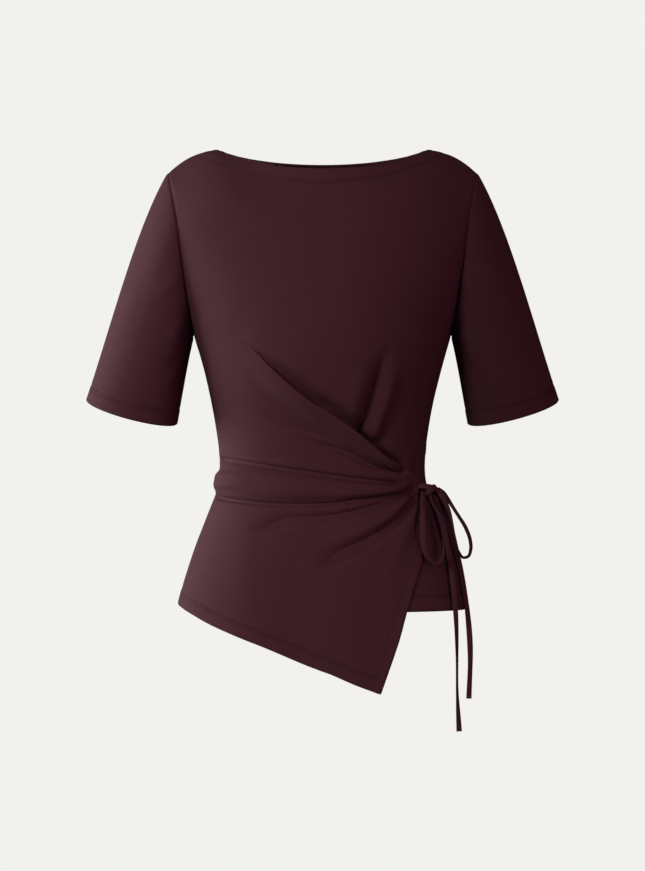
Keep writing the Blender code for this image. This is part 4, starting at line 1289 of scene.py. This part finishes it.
# %% Paths for the stitches
STITCH_STEP = 0.0032
STITCH_LENGTH = 0.0024
STITCH_WIDTH = 0.00050
STITCH_STAND = 0.00006


def row_at(points, normals, distances, target):
    """The line across a grid where the distance down each column reaches a value."""
    line, line_normals = [], []
    for column in range(points.shape[1]):
        order = np.argsort(distances[:, column])
        values = distances[order, column]
        line.append([np.interp(target, values, points[order, column, axis]) for axis in range(3)])
        line_normals.append([np.interp(target, values, normals[order, column, axis]) for axis in range(3)])
    return np.array(line), unit(line_normals)


stitch_lines = []
low = slice(hem_first, None)
rays, ray_normals = wrap_points.transpose(1, 0, 2), wrap_normals.transpose(1, 0, 2)
for offset in (0.0, TWIN_NEEDLE):
    for cloth_points, cloth_normals in ((front_points, front_normals), (back_points, back_normals)):
        _, to_neck, to_foot = panel_edges(cloth_points, on_shoulder)
        near = to_neck.min(axis=0) < NECK_HEM - offset
        stitch_lines.append(row_at(cloth_points[:, near], cloth_normals[:, near], to_neck[:, near],
                                   NECK_HEM - offset))
        stitch_lines.append(row_at(cloth_points, cloth_normals, to_foot, BODY_HEM - offset))
    for cloth_points, cloth_normals in ((right_points, right_normals), (left_points, left_normals)):
        down = lengths_along(cloth_points, 0)
        cuff = row_at(cloth_points, cloth_normals, down[-1:] - down, SLEEVE_HEM - offset)
        stitch_lines.append([np.concatenate([line, line[:1]]) for line in cuff])
    edge, edge_normals = row_at(rays, ray_normals, to_edge.T, FREE_EDGE_HEM - offset)
    keep = (edge[:, 2] < EDGE_STITCH_TOP) & (to_edge.max(axis=1) > FREE_EDGE_HEM)
    stitch_lines.append((edge[keep], edge_normals[keep]))
    stitch_lines.append(row_at(rays[:, low], ray_normals[:, low], to_hem.T[:, low],
                               WRAP_HEM_WIDTH - offset))
print(len(stitch_lines), "rows of stitches")

# %% The tree that lays the stitches
BEAD_SEGMENTS = 6
BEAD_RINGS = 4
TREE_INPUTS = (
    ("Geometry", "NodeSocketGeometry"), ("Step", "NodeSocketFloat"), ("Length", "NodeSocketFloat"),
    ("Width", "NodeSocketFloat"), ("Thread", "NodeSocketMaterial"),
)


def stitch_tree():
    """Lays a stitch at each step of a path, with its length along it and its top off the cloth."""
    tree = bpy.data.node_groups.new("twin_needle", "GeometryNodeTree")
    for socket, kind in TREE_INPUTS:
        tree.interface.new_socket(socket, in_out="INPUT", socket_type=kind)
    tree.interface.new_socket("Geometry", in_out="OUTPUT", socket_type="NodeSocketGeometry")
    given = add_node(tree, "NodeGroupInput")
    result = add_node(tree, "NodeGroupOutput")
    to_curve = add_node(tree, "GeometryNodeMeshToCurve")
    even = add_node(tree, "GeometryNodeResampleCurve", mode="LENGTH")
    tangent = add_node(tree, "GeometryNodeInputTangent")
    normal = add_node(tree, "GeometryNodeInputNamedAttribute", {"Name": "cloth_normal"},
                      data_type="FLOAT_VECTOR")
    along = add_node(tree, "FunctionNodeAlignRotationToVector", axis="X")
    upright = add_node(tree, "FunctionNodeAlignRotationToVector", axis="Z", pivot_axis="X")
    bead = add_node(tree, "GeometryNodeMeshUVSphere",
                    {"Segments": BEAD_SEGMENTS, "Rings": BEAD_RINGS, "Radius": 0.5})
    size = add_node(tree, "ShaderNodeCombineXYZ")
    place = add_node(tree, "GeometryNodeInstanceOnPoints")
    real = add_node(tree, "GeometryNodeRealizeInstances")
    paint = add_node(tree, "GeometryNodeSetMaterial")
    for start, out_socket, end, in_socket in (
        (given, "Geometry", to_curve, "Mesh"),
        (to_curve, "Curve", even, "Curve"),
        (given, "Step", even, "Length"),
        (tangent, "Tangent", along, "Vector"),
        (along, "Rotation", upright, "Rotation"),
        (normal, "Attribute", upright, "Vector"),
        (given, "Length", size, "X"),
        (given, "Width", size, "Y"),
        (given, "Width", size, "Z"),
        (even, "Curve", place, "Points"),
        (bead, "Mesh", place, "Instance"),
        (upright, "Rotation", place, "Rotation"),
        (size, "Vector", place, "Scale"),
        (place, "Instances", real, "Geometry"),
        (real, "Geometry", paint, "Geometry"),
        (given, "Thread", paint, "Material"),
        (paint, "Geometry", result, "Geometry"),
    ):
        tree.links.new(start.outputs[out_socket], end.inputs[in_socket])
    return tree


# %% The stitches


def stitch_guide(name, lines):
    """An object of loose edges along the rows of stitches, with the cloth's normal at each point."""
    points = np.concatenate([line + STITCH_STAND * line_normals for line, line_normals in lines])
    directions = np.concatenate([line_normals for _, line_normals in lines])
    edges, done = [], 0
    for line, _ in lines:
        edges += [(done + step, done + step + 1) for step in range(len(line) - 1)]
        done += len(line)
    mesh = bpy.data.meshes.new(name + "_guide")
    mesh.from_pydata(points.tolist(), edges, [])
    stored = mesh.attributes.new("cloth_normal", "FLOAT_VECTOR", "POINT")
    stored.data.foreach_set("vector", directions.ravel().astype("f4"))
    guide = bpy.data.objects.new(name + "_guide", mesh)
    bpy.context.scene.collection.objects.link(guide)
    return guide


def stitch_piece(name, lines):
    """The stitches as one plain mesh. The guide, and its modifier with it, is removed."""
    guide = stitch_guide(name, lines)
    tree = stitch_tree()
    modifier = guide.modifiers.new("stitches", "NODES")
    modifier.node_group = tree
    values = {"Step": STITCH_STEP, "Length": STITCH_LENGTH, "Width": STITCH_WIDTH, "Thread": STITCH}
    for item in tree.interface.items_tree:
        if item.in_out == "INPUT" and item.name in values:
            modifier[item.identifier] = values[item.name]
    evaluated = guide.evaluated_get(bpy.context.evaluated_depsgraph_get())
    mesh = bpy.data.meshes.new_from_object(evaluated)
    mesh.name = name
    mesh.shade_smooth()
    made = bpy.data.objects.new(name, mesh)
    bpy.context.scene.collection.objects.link(made)
    bpy.data.objects.remove(guide, do_unlink=True)
    print(name, len(mesh.polygons), "faces")
    return made


stitches = stitch_piece("twin_needle_stitching", stitch_lines)
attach(stitches, "root")

# %% [markdown]
# A fitted jersey panel is cut a little smaller than the form that it stretches over, and the over
# panel is cut larger, because its corner is gathered into the tie.

# %% [markdown]
# The ground is a plain pale room. It glows evenly, so that it is as pale from every side, and it
# sends no light to the cloth, which only the lamps model.

# %% The ground
GROUND = (0.888, 0.880, 0.847, 1.0)
FLOOR_Z = -1.25
ROOM_RADIUS = 9.0
ROOM_HEIGHT = 9.0
ROOM_SIDES = 48


def plain_glow(name, colour):
    """A material that shows one colour, however it is lit."""
    material = bpy.data.materials.new(name)
    material.use_nodes = True
    tree = material.node_tree
    tree.nodes.remove(tree.nodes["Principled BSDF"])
    glow = add_node(tree, "ShaderNodeEmission", {"Color": colour})
    tree.links.new(glow.outputs["Emission"], tree.nodes["Material Output"].inputs["Surface"])
    return material


def stage_piece(name, points, faces, material, hidden_from):
    """A piece of the studio, not of the top, which some kinds of light don't see."""
    mesh = bpy.data.meshes.new(name)
    mesh.from_pydata(points, [], faces)
    mesh.materials.append(material)
    piece = bpy.data.objects.new(name, mesh)
    bpy.context.scene.collection.objects.link(piece)
    for ray in hidden_from:
        setattr(piece, "visible_" + ray, False)


turns = np.linspace(0.0, 2.0 * math.pi, ROOM_SIDES, endpoint=False)
low = [(ROOM_RADIUS * math.cos(turn), ROOM_RADIUS * math.sin(turn), FLOOR_Z) for turn in turns]
high = [(x, y, FLOOR_Z + ROOM_HEIGHT) for x, y, _ in low]
walls = []
for side in range(ROOM_SIDES):
    following = (side + 1) % ROOM_SIDES
    walls.append([ROOM_SIDES + side, ROOM_SIDES + following, following, side])
floor_and_ceiling = [list(range(ROOM_SIDES)), list(range(2 * ROOM_SIDES - 1, ROOM_SIDES - 1, -1))]
stage_piece("pale_room", low + high, walls + floor_and_ceiling, plain_glow("pale_ground", GROUND),
            ("diffuse", "glossy", "transmission", "shadow"))
print("room:", 2.0 * ROOM_RADIUS, "m across")

# %% [markdown]
# Two broad soft lights from the left model the cloth: one level with it and a little behind,
# like a window, and one in front. A weaker light from the right keeps that side from going black,
# and makes no shine of its own. Broad lights give the soft edges that a matte cloth shows.

# %% The lights
TOP_MIDDLE = (0.0, 0.0, -0.35)
NEARLY_WHITE = (1.0, 0.99, 0.985)
WARM_WHITE = (1.0, 0.98, 0.98)
# name, place, width, height, power in watts, colour, whether it makes a shine
LIGHTS = (
    ("window_light", (-3.00, 0.60, -0.15), 2.0, 1.6, 84.0, NEARLY_WHITE, True),
    ("front_light", (-2.45, -3.1, 0.8), 1.8, 1.6, 71.0, NEARLY_WHITE, True),
    ("right_fill", (2.7, -2.9, 0.4), 2.2, 2.0, 34.0, WARM_WHITE, False),
)
for name, place, width, tall, power, colour, shines in LIGHTS:
    data = bpy.data.lights.new(name, "AREA")
    data.shape = "RECTANGLE"
    data.size = width
    data.size_y = tall
    data.energy = power
    data.color = colour
    light = bpy.data.objects.new(name, data)
    light.location = place
    light.visible_glossy = shines
    towards = unit(np.array(TOP_MIDDLE) - np.array(place))
    side_way = unit(np.cross(towards, (0.0, 0.0, 1.0)))
    up_way = np.cross(side_way, towards)
    rotation = np.column_stack([side_way, up_way, -towards])
    light.rotation_euler = Matrix(rotation.tolist()).to_euler()
    bpy.context.scene.collection.objects.link(light)
print(len(LIGHTS), "lights")

# %% [markdown]
# A photographer shades a part that comes out too bright with a dark card on a stand. This one
# holds some of the front light off the right sleeve. It stands out of the picture's way: no
# camera or reflection sees it, and it only throws its shadow.

# %% The dark card
CARD_EDGE = (-0.141, -0.425, -0.085)
CARD_ACROSS = (0.764, -0.645, 0.0)
CARD_WIDTH = 0.36
CARD_HALF_HEIGHT = 0.20
BLACK = (0.0, 0.0, 0.0, 1.0)

near_edge = np.array(CARD_EDGE)
far_edge = near_edge + CARD_WIDTH * np.array(CARD_ACROSS)
rise = np.array([0.0, 0.0, CARD_HALF_HEIGHT])
corners = [near_edge - rise, far_edge - rise, far_edge + rise, near_edge + rise]
stage_piece("dark_card", [corner.tolist() for corner in corners], [(0, 1, 2, 3)],
            plain_glow("card_black", BLACK), ("camera", "diffuse", "glossy", "transmission"))

# %% [markdown]
# A dim even light from all round fills the deepest shadows. The colours are shown as they are
# rendered, with no film look on top, so that the burgundy stays the burgundy that was set.

# %% The dim light all round
DIM_COLOUR = (0.9, 0.9, 0.92, 1.0)
DIM_STRENGTH = 0.12

world = bpy.data.worlds.new("dim_room")
world.use_nodes = True
background = world.node_tree.nodes["Background"]
background.inputs["Color"].default_value = DIM_COLOUR
background.inputs["Strength"].default_value = DIM_STRENGTH
bpy.context.scene.world = world
world.cycles_visibility.glossy = False
bpy.context.scene.view_settings.view_transform = "Standard"
bpy.context.scene.view_settings.look = "None"
